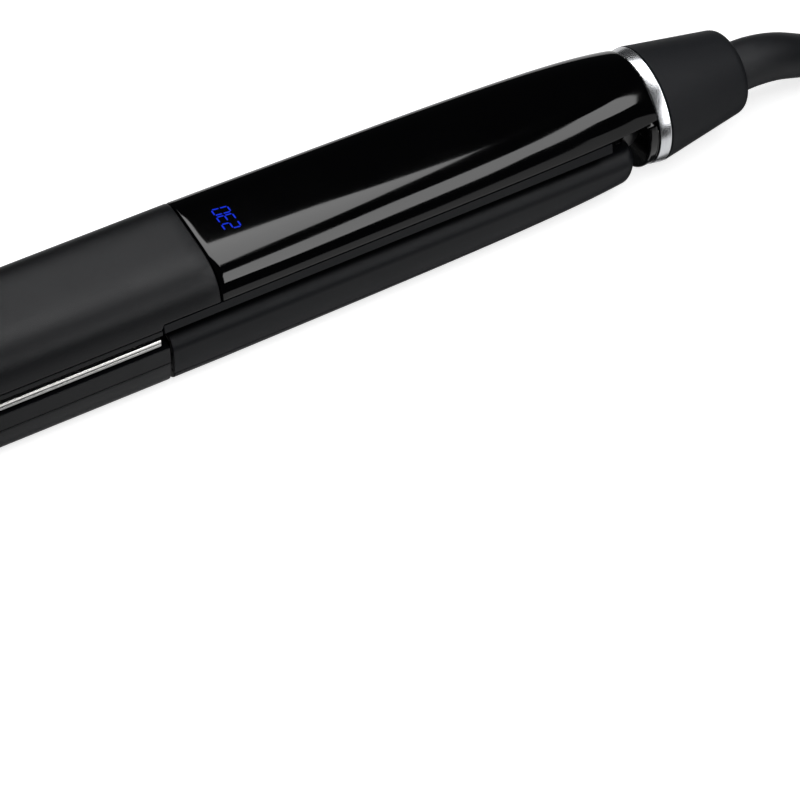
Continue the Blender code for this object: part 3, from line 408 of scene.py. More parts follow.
BLACK_STEEL = Finish("black_steel", (0.0040, 0.0040, 0.0044), 0.32, specular=0.35, depth=0.15, scale=2600.0)
CERAMIC = Finish("heater_ceramic", (0.78, 0.76, 0.72), 0.60, depth=0.30, scale=2500.0)
SILICONE = Finish("red_silicone", (0.45, 0.07, 0.04), 0.62, depth=0.20, scale=2000.0)
LAMINATE = Finish("board_laminate", (0.010, 0.085, 0.030), 0.45, depth=0.40, scale=1600.0, coat=0.4)
LENS = Finish("display_lens", (0.004, 0.004, 0.009), 0.15, depth=0.0)
TIE_NYLON = Finish("tie_nylon", (0.025, 0.025, 0.027), 0.55, depth=0.35, scale=3500.0)
LIT_DIGITS = Glow("lit_digits", (0.010, 0.046, 1.0), 0.75)


# --- meshes ---------------------------------------------------------------------------------------


def piece(
    name: str, points: Grid, faces: Sequence[Sequence[int]], finish: Finish | Glow
) -> bpy.types.Object:
    """Makes a mesh object with outward faces, smooth shading and sharp creases.

    Args:
        name: the piece's name.
        points: its points, as rows of x, y, z.
        faces: its faces, as rows of point numbers.
        finish: its finish.

    Returns:
        The object, at the origin.
    """
    mesh = bpy.data.meshes.new(name)
    mesh.from_pydata(points.reshape(-1, 3), [], faces)
    shape = bmesh.new()
    shape.from_mesh(mesh)
    bmesh.ops.remove_doubles(shape, verts=shape.verts, dist=1e-7)
    bmesh.ops.recalc_face_normals(shape, faces=shape.faces)
    if shape.calc_volume(signed=True) < 0:
        bmesh.ops.reverse_faces(shape, faces=shape.faces)
    shape.to_mesh(mesh)
    shape.free()
    return dressed(bpy.data.objects.new(name, mesh), finish)


def dressed(obj: bpy.types.Object, finish: Finish | Glow) -> bpy.types.Object:
    """Links a new object, shades it smooth and gives it one finish.

    Args:
        obj: a mesh object that isn't in the scene yet.
        finish: its finish.

    Returns:
        The same object.
    """
    bpy.context.scene.collection.objects.link(obj)
    obj.data.shade_smooth()
    obj.data.set_sharp_from_angle(angle=CREASE)
    obj.data.materials.clear()
    obj.data.materials.append(finish.build())
    return obj


def superellipse(a: Measure, b: Measure, n: Measure, t: Grid) -> tuple[Grid, Grid]:
    """Points of |u/a|^n + |v/b|^n = 1: at angle t they lie r = (|cos t / a|^n + |sin t / b|^n)^(-1/n) out.

    Args:
        a: half the width.
        b: half the height.
        n: the exponent; 2 gives an ellipse, and more a squarer outline.
        t: the angles.

    Returns:
        The points' u and v.
    """
    r = (np.abs(np.cos(t) / a) ** n + np.abs(np.sin(t) / b) ** n) ** (-1 / n)
    return r * np.cos(t), r * np.sin(t)


def rolled(near: Grid, roll: float) -> Grid:
    """How far a quarter circle draws an outline in: roll - sqrt(roll^2 - (roll - near)^2) where near < roll.

    Args:
        near: the distance from the end.
        roll: the quarter circle's radius.

    Returns:
        The inset at each distance.
    """
    return roll - np.sqrt(np.maximum(0, roll**2 - np.maximum(0, roll - near) ** 2))


def strip_faces(rows: int, columns: int, closed_rows: bool, closed_columns: bool) -> Grid:
    """Quads between neighbouring points of a grid.

    Args:
        rows: how many rows of points.
        columns: how many points in a row.
        closed_rows: whether the last row joins the first.
        closed_columns: whether each row's last point joins its first.

    Returns:
        An array of four point numbers a face.
    """
    r = np.arange(rows if closed_rows else rows - 1)[:, None]
    c = np.arange(columns if closed_columns else columns - 1)[None, :]
    after_r, after_c = (r + 1) % rows, (c + 1) % columns
    corners = (r * columns + c, r * columns + after_c, after_r * columns + after_c, after_r * columns + c)
    return np.stack([np.broadcast_to(k, (r.size, c.size)) for k in corners], -1).reshape(-1, 4)


def walled(name: str, x: Grid, outer: Grid, inner: Grid, axis: float, finish: Finish) -> bpy.types.Object:
    """A solid along the body between an outer and an inner line of each station's section.

    Each section is one closed loop, the outer line and then the inner line back, and both ends are closed
    by quads from each outer point to the inner point opposite it.

    Args:
        name: the piece's name.
        x: the stations.
        outer: the outer line's (y, z) at each station, z from the body's axis.
        inner: the inner line's (y, z), as many points, in the same order.
        axis: the height of the body's axis.
        finish: its finish.

    Returns:
        The object.
    """
    loop = np.concatenate([outer, inner[:, ::-1]], axis=1)
    rows, columns = loop.shape[:2]
    along = np.broadcast_to(x[:, None], (rows, columns))
    points = np.stack([along, loop[..., 0], loop[..., 1] + axis], -1)
    sides = strip_faces(rows, columns, False, True)
    k = np.arange(columns // 2 - 1)
    cap = np.stack([k, k + 1, columns - 2 - k, columns - 1 - k], -1)
    return piece(name, points, np.concatenate([sides, cap, cap + (rows - 1) * columns]).tolist(), finish)


def turned(
    name: str, profile: Sequence[tuple[float, float]], centre: Vector, finish: Finish
) -> bpy.types.Object:
    """A surface of revolution about an axis along X: a closed profile of (along, radius) swept round it.

    Args:
        name: the piece's name.
        profile: the outline's points.
        centre: a point on the axis, from which along is measured.
        finish: its finish.

    Returns:
        The object.
    """
    outline = np.array(profile, float)
    turn = np.linspace(0, math.tau, 128, endpoint=False)[:, None]
    along = np.broadcast_to(outline[:, 0], (turn.size, len(outline)))
    radius = outline[:, 1]
    points = np.stack(
        [centre.x + along, centre.y + radius * np.cos(turn), centre.z + radius * np.sin(turn)], -1
    )
    return piece(name, points, strip_faces(turn.size, len(outline), True, True).tolist(), finish)


def rounded(corners: Sequence[tuple[float, float, float]], steps: int = 5) -> list[tuple[float, float]]:
    """A closed outline with rounded corners: each becomes a short parabola between its two sides.

    Args:
        corners: (u, v, reach) of each corner, where reach is how far the rounding starts from it.
        steps: how many points each rounded corner gets.

    Returns:
        The outline's points.
    """
    points = np.array([c[:2] for c in corners], float)
    outline = []
    for k, (_, _, reach) in enumerate(corners):
        here, before, after = points[k], points[k - 1], points[(k + 1) % len(points)]
        if reach <= 0:
            outline.append(tuple(here))
            continue
        start = here + (before - here) / np.linalg.norm(before - here) * reach
        end = here + (after - here) / np.linalg.norm(after - here) * reach
        for t in np.linspace(0, 1, steps):
            outline.append(tuple((1 - t) ** 2 * start + 2 * t * (1 - t) * here + t**2 * end))
    return outline


def refined(node: str, finish: Finish, edge: float, body: Body) -> bpy.types.Object:
    """A copy of a frame node with its loose triangles merged, its flats restored and its edges rounded.

    Args:
        node: the frame node.
        finish: the copy's finish.
        edge: the width of the rounded edges.
        body: the body that it rides on.

    Returns:
        The copy, which stands for the node.
    """
    mesh = bpy.data.objects[node].data.copy()
    mesh.name = f"{node}_rounded"
    shape = bmesh.new()
    shape.from_mesh(mesh)
    bmesh.ops.remove_doubles(shape, verts=shape.verts, dist=2e-6)
    bmesh.ops.dissolve_limit(shape, angle_limit=math.radians(0.8), verts=shape.verts, edges=shape.edges)
    bmesh.ops.recalc_face_normals(shape, faces=shape.faces)
    shape.to_mesh(mesh)
    shape.free()
    obj = dressed(bpy.data.objects.new(f"{node}_finished", mesh), finish)
    bevel = obj.modifiers.new("edges", "BEVEL")
    bevel.width = edge
    bevel.segments = 3
    bevel.limit_method = "ANGLE"
    bevel.angle_limit = math.radians(40)
    bevel.harden_normals = True
    settled(obj, body, [node])
    return obj


def settled(
    obj: bpy.types.Object, body: Body, nodes: Iterable[str] = ()
) -> bpy.types.Object:
    """Puts a piece on its body, in place of the nodes that it stands for, and reports it.

    Args:
        obj: the piece.
        body: the body that it rides on.
        nodes: the frame nodes that it stands for.

    Returns:
        The same object.
    """
    nodes = list(nodes)
    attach(obj, body.value)
    if nodes:
        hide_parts(*nodes)
    LOG.info("%s on %s, for %s", obj.name, body.value, ", ".join(nodes) or "no node")
    return obj


# --- the body's surface ---------------------------------------------------------------------------


@dataclass(frozen=True)
class BodyLine:
    """The body's stations and its cross-section.

    The section is the superellipse |y/a|^n + |z/b|^n = 1 about the body's axis. From the seam to the ring
    a and b run straight to the ring's radius, and n falls from squareness to 2, a circle, with the fourth
    power of the share of the way.
    """

    tip: float
    cap: float
    step: float
    seam: float
    ring: float
    ring_end: float
    collar_end: float
    axis: float
    half_width: float
    ring_radius: float = 0.0149
    collar_end_radius: float = 0.0106
    squareness: float = 4.26
    rounding: float = 4.0
    wall: float = 0.0018

    @classmethod
    def from_frame(cls) -> BodyLine:
        """Reads the stations from the frame's boxes.

        Returns:
            The body line.
        """
        ring_low, ring_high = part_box("silver_ring")
        return cls(
            tip=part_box("upper_tip_cap")[0].x,
            cap=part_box("upper_tip_cap")[1].x,
            step=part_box("upper_handle_base")[0].x,
            seam=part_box("upper_gloss_cover")[0].x - GAP / 2,
            ring=ring_low.x,
            ring_end=ring_high.x,
            collar_end=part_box("collar")[1].x,
            axis=(ring_low.z + ring_high.z) / 2,
            half_width=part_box("lower_front_frame")[1].y,
        )

    def section(self, x: Grid, inset: Measure = 0.0, scale: Measure = 1.0) -> tuple[Grid, Grid, Grid]:
        """The superellipse's half width, half height and exponent at each station.

        Args:
            x: the stations.
            inset: how far the outline is drawn in.
            scale: a factor on its size.

        Returns:
            Three arrays, each a column.
        """
        share = np.clip((x - self.seam) / (self.ring - self.seam), 0, 1)
        a = self.half_width + (self.ring_radius - self.half_width) * share
        b = self.axis + (self.ring_radius - self.axis) * share
        n = self.squareness + (2 - self.squareness) * share**self.rounding
        return (a * scale - inset)[:, None], (b * scale - inset)[:, None], n[:, None]

    def half_width_at(self, z: Measure, x: Grid, inset: Measure = 0.0, scale: Measure = 1.0) -> Grid:
        """Half the section's width at a height from the axis: a (1 - |z/b|^n)^(1/n).

        Args:
            z: the height, one for each station or one for all.
            x: the stations.
            inset: how far the outline is drawn in.
            scale: a factor on its size.

        Returns:
            A column of half widths.
        """
        a, b, n = self.section(x, inset, scale)
        height = np.broadcast_to(np.asarray(z, float).reshape(-1, 1), a.shape)
        return a * np.maximum(0, 1 - np.abs(height / b) ** n) ** (1 / n)

    def arc(
        self, x: Grid, edge: Measure, side: Side, count: int, inset: Measure = 0.0, scale: Measure = 1.0
    ) -> Grid:
        """The section's line from its edge at +y, over the crown or the belly, to its edge at -y.

        The superellipse's angle runs evenly from the edge's own angle to its mirror.

        Args:
            x: the stations.
            edge: the edge's height from the axis, one for each station or one for all.
            side: over the crown or the belly.
            count: how many points.
            inset: how far the outline is drawn in.
            scale: a factor on its size.

        Returns:
            An array of (y, z), a row for each station.
        """
        a, b, n = self.section(x, inset, scale)
        height = side.value * np.broadcast_to(np.asarray(edge, float).reshape(-1, 1), a.shape)
        width = a * np.maximum(1e-9, 1 - np.minimum(1, np.abs(height / b)) ** n) ** (1 / n)
        start = np.arctan2(height, width)
        t = start + (math.pi - 2 * start) * np.linspace(0, 1, count)[None, :]
        y, z = superellipse(a, b, n, t)
        return np.stack([y, side.value * z], -1)

    def shell(
        self,
        name: str,
        x: Grid,
        edge: Measure,
        side: Side,
        finish: Finish,
        lip: float = 0.00028,
        roll: float = 0.0003,
        scale: Measure = 1.0,
    ) -> bpy.types.Object:
        """A shell of the body's surface, with rounded lower edges and rolled ends.

        Both ends are rolled over, and each lower edge is a quarter circle of radius lip from the outline to
        the wall's flat end.

        Args:
            name: the piece's name.
            x: the stations.
            edge: the edge's height from the axis, one for each station or one for all.
            side: over the crown or the belly.
            finish: its finish.
            lip: the rounding of the long edges.
            roll: the rounding of the two ends.
            scale: a factor on the outline's size at each station.

        Returns:
            The object.
        """
        inset = rolled(np.minimum(x - x[0], x[-1] - x), roll)
        edge = np.broadcast_to(np.asarray(edge, float), x.shape)
        lifted = edge + side.value * lip
        outer = self.arc(x, lifted, side, 121, inset, scale)
        t = np.linspace(0, math.pi / 2, 6)[1:]
        side_y = outer[:, :1, 0]
        roll_y = side_y - lip * (1 - np.cos(t))[None, :]
        roll_z = lifted[:, None] - side.value * lip * np.sin(t)[None, :]
        right = np.stack([roll_y, roll_z], -1)[:, ::-1]
        left = np.stack([-roll_y, roll_z], -1)
        outer = np.concatenate([right, outer, left], axis=1)
        inner = self.arc(x, edge, side, outer.shape[1], self.wall, scale)
        return walled(name, x, outer, inner, self.axis, finish)


def stations(
    low: float, high: float, count: int, roll: float = 0.0003, extra: Sequence[float] = ()
) -> Grid:
    """Stations along a shell, closer together where its ends roll and at any extra places.

    Args:
        low: the first station.
        high: the last station.
        count: how many lie evenly between.
        roll: the length of each rolled end.
        extra: more stations to include.

    Returns:
        The stations in order.
    """
    ends = roll * np.array([0.0, 0.06, 0.25, 0.55, 1.0])
    every = [low + ends, high - ends, np.linspace(low + roll, high - roll, count), np.array(extra)]
    return np.unique(np.round(np.concatenate(every), 7))


# --- front of the arms ----------------------------------------------------------------------------


@dataclass
class FrontArm:
    """One arm's heated front: shell, frame, floating plate and tip cap."""

    line: BodyLine
    side: Side
    step_run: float = 0.0009
    rail_edge: float = 0.00022
    plate_edge: float = 0.00030
    cushion_edge: float = 0.00015
    tip_squareness: float = 2.6
    tip_end: float = 0.97
    prefix: str = field(init=False)
    body: Body = field(init=False)

    def __post_init__(self) -> None:
        """Names the arm's nodes and its body from its side."""
        self.prefix = "upper" if self.side is Side.UPPER else "lower"
        self.body = Body.UPPER if self.side is Side.UPPER else Body.LOWER

    def build_shell(self) -> None:
        """The grained outer shell; the upper one's edge steps up where the handle's base begins."""
        low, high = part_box(f"{self.prefix}_front_shell")
        if self.side is Side.UPPER:
            start = self.line.step - GAP - self.step_run / 2
            x = stations(low.x, high.x, 40, extra=list(start + np.linspace(0, self.step_run, 7)))
            share = np.clip((x - start) / self.step_run, 0, 1)
            rise = share * share * (3 - 2 * share)
            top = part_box("upper_gloss_cover")[0].z
            edge = low.z + (top - low.z) * rise - self.line.axis
        else:
            x = stations(low.x, high.x, 40)
            edge = np.full(x.shape, high.z - self.line.axis)
        name = f"{self.prefix}_shell_skin"
        shell = self.line.shell(name, x, edge, self.side, MATTE_SHELL)
        settled(shell, self.body, [f"{self.prefix}_front_shell"])

    def build_cap(self) -> None:
        """The tip cap: the body's outline shrinks as (1 - s^p)^(1/p) over its length to a flat face."""
        low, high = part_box(f"{self.prefix}_tip_cap")
        share = np.sin(np.linspace(0, math.pi / 2, 33))
        x = (high.x + (low.x - high.x) * share)[::-1]
        reach = self.tip_end * share[::-1]
        scale = (1 - reach**self.tip_squareness) ** (1 / self.tip_squareness)
        face = (low.z if self.side is Side.UPPER else high.z) - self.line.axis
        outer = self.line.arc(x, face, self.side, 97, 0.0, scale)
        share = np.linspace(0, 1, outer.shape[1])[None, :, None]
        inner = outer[:, :1] * (1 - share) + outer[:, -1:] * share
        cap = walled(f"{self.prefix}_tip_dome", x, outer, inner, self.line.axis, SATIN_RAIL)
        settled(cap, self.body, [f"{self.prefix}_tip_cap"])

    def build_cushion(self, node: str) -> None:
        """A silicone cushion with rounded edges and a mesh of its own.

        Args:
            node: the cushion's node.
        """
        cushion = refined(node, SILICONE, self.cushion_edge, self.body)
        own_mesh(cushion)

    def build(self) -> None:
        """Builds the front's visible pieces and dresses what lies inside it."""
        self.build_shell()
        self.build_cap()
        refined(f"{self.prefix}_front_frame", SATIN_RAIL, self.rail_edge, self.body)
        plate = Body.UPPER_PLATE if self.side is Side.UPPER else Body.LOWER_PLATE
        # the lower plate gets a darker copy of the upper plate's finish, which is painted shade
        plate_finish = COATED_PLATE if self.side is Side.UPPER else PAINTED_SHADE_PLATE
        refined(f"{self.prefix}_plate", plate_finish, self.plate_edge, plate)
        dress(f"{self.prefix}_heater", CERAMIC)
        dress(f"{self.prefix}_heater_wires", SILICONE)
        for end in ("tip", "handle"):
            for edge in ("near", "far"):
                self.build_cushion(f"{self.prefix}_cushion_{end}_{edge}")


def dress(node: str, finish: Finish) -> None:
    """Gives a frame node that stays as it is a finish.

    Args:
        node: the frame node.
        finish: its finish.
    """
    obj = bpy.data.objects[node]
    obj.data.materials.clear()
    obj.data.materials.append(finish.build())


# --- upper handle ---------------------------------------------------------------------------------


@dataclass
class Display:
    """The lit temperature behind the gloss cover: seven-segment digits read from the handle's far side."""

    line: BodyLine
    text: str = "230"
    centre: float = 0.0091
    height: float = 0.0038
    width: float = 0.0019
    pitch: float = 0.0026
    stroke: float = 0.00037
    slant: float = 0.14
    lift: float = 0.00002
    # each segment from and to, in shares of a digit's width and height
    segments: dict[str, tuple[float, float, float, float]] = field(
        default_factory=lambda: {
            "a": (0.0, 1.0, 1.0, 1.0),
            "b": (1.0, 1.0, 1.0, 0.5),
            "c": (1.0, 0.5, 1.0, 0.0),
            "d": (0.0, 0.0, 1.0, 0.0),
            "e": (0.0, 0.0, 0.0, 0.5),
            "f": (0.0, 0.5, 0.0, 1.0),
            "g": (0.0, 0.5, 1.0, 0.5),
        }
    )
    lit: dict[str, str] = field(default_factory=lambda: {"2": "abged", "3": "abgcd", "0": "abcdef"})

    def bar(self, ends: tuple[float, float, float, float], origin: float) -> Grid:
        """One segment's outline: a bar with pointed ends, leaning with the digit.

        Args:
            ends: the segment's two ends, in shares of the digit's size.
            origin: the digit's left edge along the reading direction.

        Returns:
            Six rows of (reading direction, up).
        """
        a = np.array([ends[0] * self.width, ends[1] * self.height])
        b = np.array([ends[2] * self.width, ends[3] * self.height])
        along = (b - a) / np.linalg.norm(b - a)
        across = np.array([-along[1], along[0]]) * self.stroke / 2
        a, b = a + along * self.stroke * 0.35, b - along * self.stroke * 0.35
        inner = along * self.stroke / 2
        near, far = a + inner, b - inner
        outline = np.array([a, near + across, far + across, b, far - across, near - across])
        outline[:, 0] += origin + self.slant * (outline[:, 1] - self.height / 2)
        return outline

    def build(self) -> None:
        """Lays the digits on the cover: reading runs along +Y, and their tops point to the tip."""
        bars = []
        first = -self.pitch * (len(self.text) - 1) / 2 - self.width / 2
        for place, digit in enumerate(self.text):
            bars += [self.bar(self.segments[s], first + place * self.pitch) for s in self.lit[digit]]
        flat = np.array(bars)
        x = self.line.seam + self.centre + self.height / 2 - flat[..., 1]
        y = flat[..., 0]
        a, b, n = (k[..., 0].reshape(x.shape) for k in self.line.section(x.ravel()))
        z = b * (1 - np.abs(y / a) ** n) ** (1 / n) + self.line.axis
        top = np.stack([x, y, z + self.lift], -1)
        base = np.stack([x, y, z - self.lift], -1)
        points = np.concatenate([top, base], axis=1)
        faces = []
        for start in range(0, 12 * len(bars), 12):
            faces += [[start + i for i in range(6)], [start + 11 - i for i in range(6)]]
            for here in range(6):
                after = (here + 1) % 6
                faces.append([start + here, start + after, start + 6 + after, start + 6 + here])
        digits = piece("display_digits", points, faces, LIT_DIGITS)
        settled(digits, Body.UPPER)


@dataclass
class UpperHandle:
    """The gloss cover with its display, the satin base under it, and the keys on its inner face."""

    line: BodyLine
    keys: dict[str, Body] = field(
        default_factory=lambda: {
            "power_button": Body.POWER,
            "minus_button": Body.MINUS,
            "plus_button": Body.PLUS,
        }
    )
    mark_depth: float = 0.00012
    roll: float = 0.00035
    edge: float = 0.00018
    bar_half: tuple[float, float] = (0.0012, 0.00022)
    power_bar: tuple[float, float, float, float] = (-0.00018, 0.0004, 0.00018, 0.0018)
    power_radii: tuple[float, float] = (0.00115, 0.00150)
    power_turn: tuple[float, float] = (125.0, 415.0)

    def build_cover(self) -> None:
        """The gloss cover, from the seam to the ring."""
        low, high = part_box("upper_gloss_cover")
        x = stations(low.x, high.x, 96, roll=self.roll)
        edge = low.z - self.line.axis
        cover = self.line.shell("gloss_cover", x, edge, Side.UPPER, GLOSS_COVER, roll=self.roll)
        settled(cover, Body.UPPER, ["upper_gloss_cover"])

    def build_marks(self) -> None:
        """Moulded signs on the keys: a bar, a cross, and a ring with a stroke."""
        long, short = self.bar_half
        minus = [(-long, -short, long, short)]
        plus = minus + [(-short, -long, short, long)]
        power = [self.power_bar]
        for node, bars in (("minus_button", minus), ("plus_button", plus), ("power_button", power)):
            low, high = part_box(node)
            middle = (low + high) / 2
            points, faces = [], []
            for x0, y0, x1, y1 in bars:
                start = len(points)
                for z in (low.z - self.mark_depth, low.z + self.mark_depth):
                    corners = ((x0, y0), (x1, y0), (x1, y1), (x0, y1))
                    points += [(middle.x + u, middle.y + v, z) for u, v in corners]
                faces += [[start + k for k in quad] for quad in BLOCK_FACES]
            if node == "power_button":
                turn = np.linspace(*np.radians(self.power_turn), 33)
                start = len(points)
                for z in (low.z - self.mark_depth, low.z + self.mark_depth):
                    for r in self.power_radii:
                        x, y = middle.x + r * np.cos(turn), middle.y + r * np.sin(turn)
                        points += np.column_stack([x, y, np.full(turn.size, z)]).tolist()
                faces += (ring_faces(turn.size) + start).tolist()
            mark = piece(f"{node}_sign", np.array(points), faces, SATIN_SILVER)
            settled(mark, self.keys[node])

    def build(self) -> None:
        """Builds the handle's visible pieces and dresses what lies inside it."""
        self.build_cover()
        Display(self.line).build()
        refined("upper_handle_base", SATIN_HANDLE, self.edge, Body.UPPER)
        for node, body in self.keys.items():
            refined(node, KEY_NYLON, self.edge, body)
        self.build_marks()
        dress("control_board", LAMINATE)
        dress("display_module", LENS)
        dress("supply_wires", LEAD_SHEATH)


BLOCK_FACES = ((0, 1, 2, 3), (7, 6, 5, 4), (0, 4, 5, 1), (1, 5, 6, 2), (2, 6, 7, 3), (3, 7, 4, 0))


def ring_faces(count: int) -> Grid:
    """Faces of an open band with a rectangular section.

    The band's points are four lines of the same count: low inner, low outer, high inner, high outer.

    Args:
        count: how many points each line has.

    Returns:
        An array of four point numbers a face, ends included.
    """
    k = np.arange(count - 1)
    lines = (0, count, 3 * count, 2 * count)
    sides = [
        np.stack([a + k, a + k + 1, b + k + 1, b + k], -1) for a, b in zip(lines, (*lines[1:], lines[0]))
    ]
    ends = np.array([[a + at for a in lines] for at in (0, count - 1)])
    return np.concatenate([*sides, ends])


# --- lower handle ---------------------------------------------------------------------------------


@dataclass
class LowerHandle:
    """The lower handle: a shell with a rounded inner face and the hinge's notch, and the cover under it."""

    line: BodyLine
    corner: float = 0.0036
    end_round: float = 0.0020
    end_draw: float = 0.10
    notch_length: float = 0.0122
    notch_floor: float = -0.0062
    notch_gap: float = 0.0006
    cut_past: float = 0.002
    seat_depth: float = 0.0011
    cover_lip: float = 0.0002

    def scale(self, x: Grid, end: float) -> Grid:
        """The outline's size over the rounded rear end: 1 - draw (1 - sqrt(1 - s^2)) over its last stretch.

        Args:
            x: the stations.
            end: the rear end.

        Returns:
            A factor for each station.
        """
        share = np.clip((x - end + self.end_round) / self.end_round, 0, 1)
        return 1 - self.end_draw * (1 - np.sqrt(1 - share**2))

    def end_stations(self, low: float, high: float) -> Grid:
        """Stations along the handle, closer together over its rounded rear end.

        Args:
            low: the first station.
            high: the last station.

        Returns:
            The stations in order.
        """
        fine = high - self.end_round * (1 - np.sin(np.linspace(0, math.pi / 2, 10)))
        return stations(low, high, 60, extra=list(fine))

    def skin_line(self, x: Grid, top: float, seam: float, end: float) -> Grid:
        """The shell's outer line from the cover's seam at +y, up its side and over its flat inner face.

        The corner is a quarter circle of radius corner, set where the side reaches the circle's centre.

        Args:
            x: the stations.
            top: height of the inner face, from the axis.
            seam: height of the cover's seam, from the axis.
            end: the rear end.

        Returns:
            An array of (y, z) from the seam on the right over the face to the seam on the left.
        """
        scale = self.scale(x, end)
        centre = top - self.corner
        heights = np.linspace(seam, centre, 25)
        side = np.concatenate([self.line.half_width_at(z, x, 0.0, scale) for z in heights], axis=1)
        right = np.stack([side, np.broadcast_to(heights, side.shape)], -1)
        t = np.linspace(0, math.pi / 2, 13)[None, 1:]
        y = side[:, -1:] - self.corner * (1 - np.cos(t))
        z = centre + self.corner * np.sin(t) + 0 * y
        right = np.concatenate([right, np.stack([y, z], -1)], axis=1)
        return np.concatenate([right, right[:, ::-1] * np.array([-1.0, 1.0])], axis=1)

    def build_shell(self) -> None:
        """The shell's skin with the hinge's notch cut from it."""
        low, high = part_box("lower_handle_shell")
        axis = self.line.axis
        x = self.end_stations(low.x, high.x)
        top, seam = high.z - axis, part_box("lower_handle_cover")[1].z + GAP - axis
        outer = self.skin_line(x, top, seam, high.x)
        wall = self.line.wall
        middle = np.array([0.0, (top + seam) / 2])
        half = np.array([self.line.half_width, (top - seam) / 2])
        inner = middle + (outer - middle) * (1 - wall / half)
        inner[:, 0, 1] = inner[:, -1, 1] = seam
        shell = walled("lower_handle_skin", x, outer, inner, axis, SATIN_HANDLE)
        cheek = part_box("hinge_bracket")
        notch_front, notch_floor = cheek[1].x - self.notch_length, axis + self.notch_floor
        notch_low = Vector((notch_front, cheek[0].y - self.notch_gap, notch_floor))
        notch_high = Vector((high.x + self.cut_past, cheek[1].y + self.notch_gap, high.z + self.cut_past))
        cut_block(shell, notch_low, notch_high)
        settled(shell, Body.LOWER, ["lower_handle_shell"])

    def build_cover(self) -> None:
        """The cover under the handle, with the seats of its two screws."""
        low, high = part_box("lower_handle_cover")
        x = self.end_stations(low.x, high.x)
        scale = self.scale(x, high.x)
        edge = high.z - self.line.axis
        cover = self.line.shell(
            "lower_handle_belly", x, edge, Side.LOWER, SATIN_HANDLE, lip=self.cover_lip, scale=scale
        )
        settled(cover, Body.LOWER, ["lower_handle_cover"])
        for node in ("cover_screw_front", "cover_screw_rear"):
            self.build_seat(cover, node)
            dress(node, ZINC_STEEL)

    def build_seat(self, cover: bpy.types.Object, node: str) -> None:
        """A round recess in the cover over a screw's head.

        Args:
            cover: the cover's piece.
            node: the screw's node.
        """
        low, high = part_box(node)
        middle = (low + high) / 2
        radius = (high.x - low.x) / 2 + GAP
        foot = Vector((middle.x, middle.y, 0))
        cut(cover, cylinder(f"cutter_{node}", foot, radius, -self.cut_past, low.z + self.seat_depth))

    def build(self) -> None:
        """Builds the lower handle's visible pieces."""
        self.build_shell()
        self.build_cover()


def cylinder(name: str, foot: Vector, radius: float, low: float, high: float) -> bpy.types.Object:
    """An upright round cutter: circles of one radius at two heights.

    Args:
        name: the cutter's name.
        foot: a point on its axis.
        radius: its radius.
        low: its lower end's height.
        high: its upper end's height.

    Returns:
        The cutter.
    """
    turn = np.linspace(0, math.tau, 48, endpoint=False)
    circle = np.stack([foot.x + radius * np.cos(turn), foot.y + radius * np.sin(turn), 0 * turn], -1)
    points = np.concatenate([circle + (0, 0, low), circle + (0, 0, high)])
    faces = strip_faces(2, turn.size, False, True).tolist()
    faces += [list(range(turn.size)), list(range(turn.size, 2 * turn.size))]
    return piece(name, points, faces, ZINC_STEEL)


def cut_block(target: bpy.types.Object, low: Vector, high: Vector) -> None:
    """Cuts a rectangular space out of a piece.

    Args:
        target: the piece.
        low: the space's lowest corner.
        high: the space's highest corner.
    """
    flat = [(low.x, low.y), (high.x, low.y), (high.x, high.y), (low.x, high.y)]
    points = np.array([(x, y, z) for z in (low.z, high.z) for x, y in flat])
    cut(target, piece(f"cutter_{target.name}", points, BLOCK_FACES, ZINC_STEEL))


def cut(target: bpy.types.Object, cutter: bpy.types.Object) -> None:
    """Subtracts a cutter from a piece for good, and removes the cutter.

    Args:
        target: the piece.
        cutter: the shape to take away.
    """
    modifier = target.modifiers.new("cut", "BOOLEAN")
    modifier.operation = "DIFFERENCE"
    modifier.solver = "EXACT"
    modifier.object = cutter
    graph = bpy.context.evaluated_depsgraph_get()
    mesh = bpy.data.meshes.new_from_object(target.evaluated_get(graph), depsgraph=graph)
    target.modifiers.clear()
    target.data = mesh
    target.data.set_sharp_from_angle(angle=CREASE)
    bpy.data.objects.remove(cutter)


# --- hinge, ring and collar -----------------------------------------------------------------------


@dataclass
class HingeSet:
    """The hinge between the arms: gloss housing, steel bracket, pin, spring and screws."""

    line: BodyLine
    disc_radius: float = 0.01428
    disc_length: float = 0.0026
    disc_wall: float = 0.0009
    disc_turn: tuple[float, float] = (157.0, 383.0)
    edge: float = 0.0005
    bracket_edge: float = 0.00012

    def build_disc(self) -> None:
        """The gloss rim of the housing's disc below the cover: a turned band with rounded edges."""
        end = self.line.ring - GAP
        start = end - self.disc_length
        inner = self.disc_radius - self.disc_wall
        x = stations(start, end, 8, roll=self.edge)
        drawn = rolled(np.minimum(x - x[0], x[-1] - x), self.edge)
        t = np.linspace(*np.radians(self.disc_turn), 121)[None, :]
        radius = (self.disc_radius - drawn)[:, None]
        outer = np.stack([radius * np.cos(t), radius * np.sin(t)], -1)
        within = np.stack([inner * np.cos(t) + 0 * radius, inner * np.sin(t) + 0 * radius], -1)
        rim = walled("hinge_disc_rim", x, outer, within, self.line.axis, GLOSS_HINGE)
        settled(rim, Body.UPPER)

    def build(self) -> None:
        """Builds the rim and dresses the housing, bracket, pin, spring and screws."""
        self.build_disc()
        dress("hinge_housing", GLOSS_HINGE)
        refined("hinge_bracket", BLACK_STEEL, self.bracket_edge, Body.LOWER)
        dress("hinge_pin", BLACK_STEEL)
        for node in ("opening_spring", "tongue_screw_near", "tongue_screw_far"):
            dress(node, ZINC_STEEL)


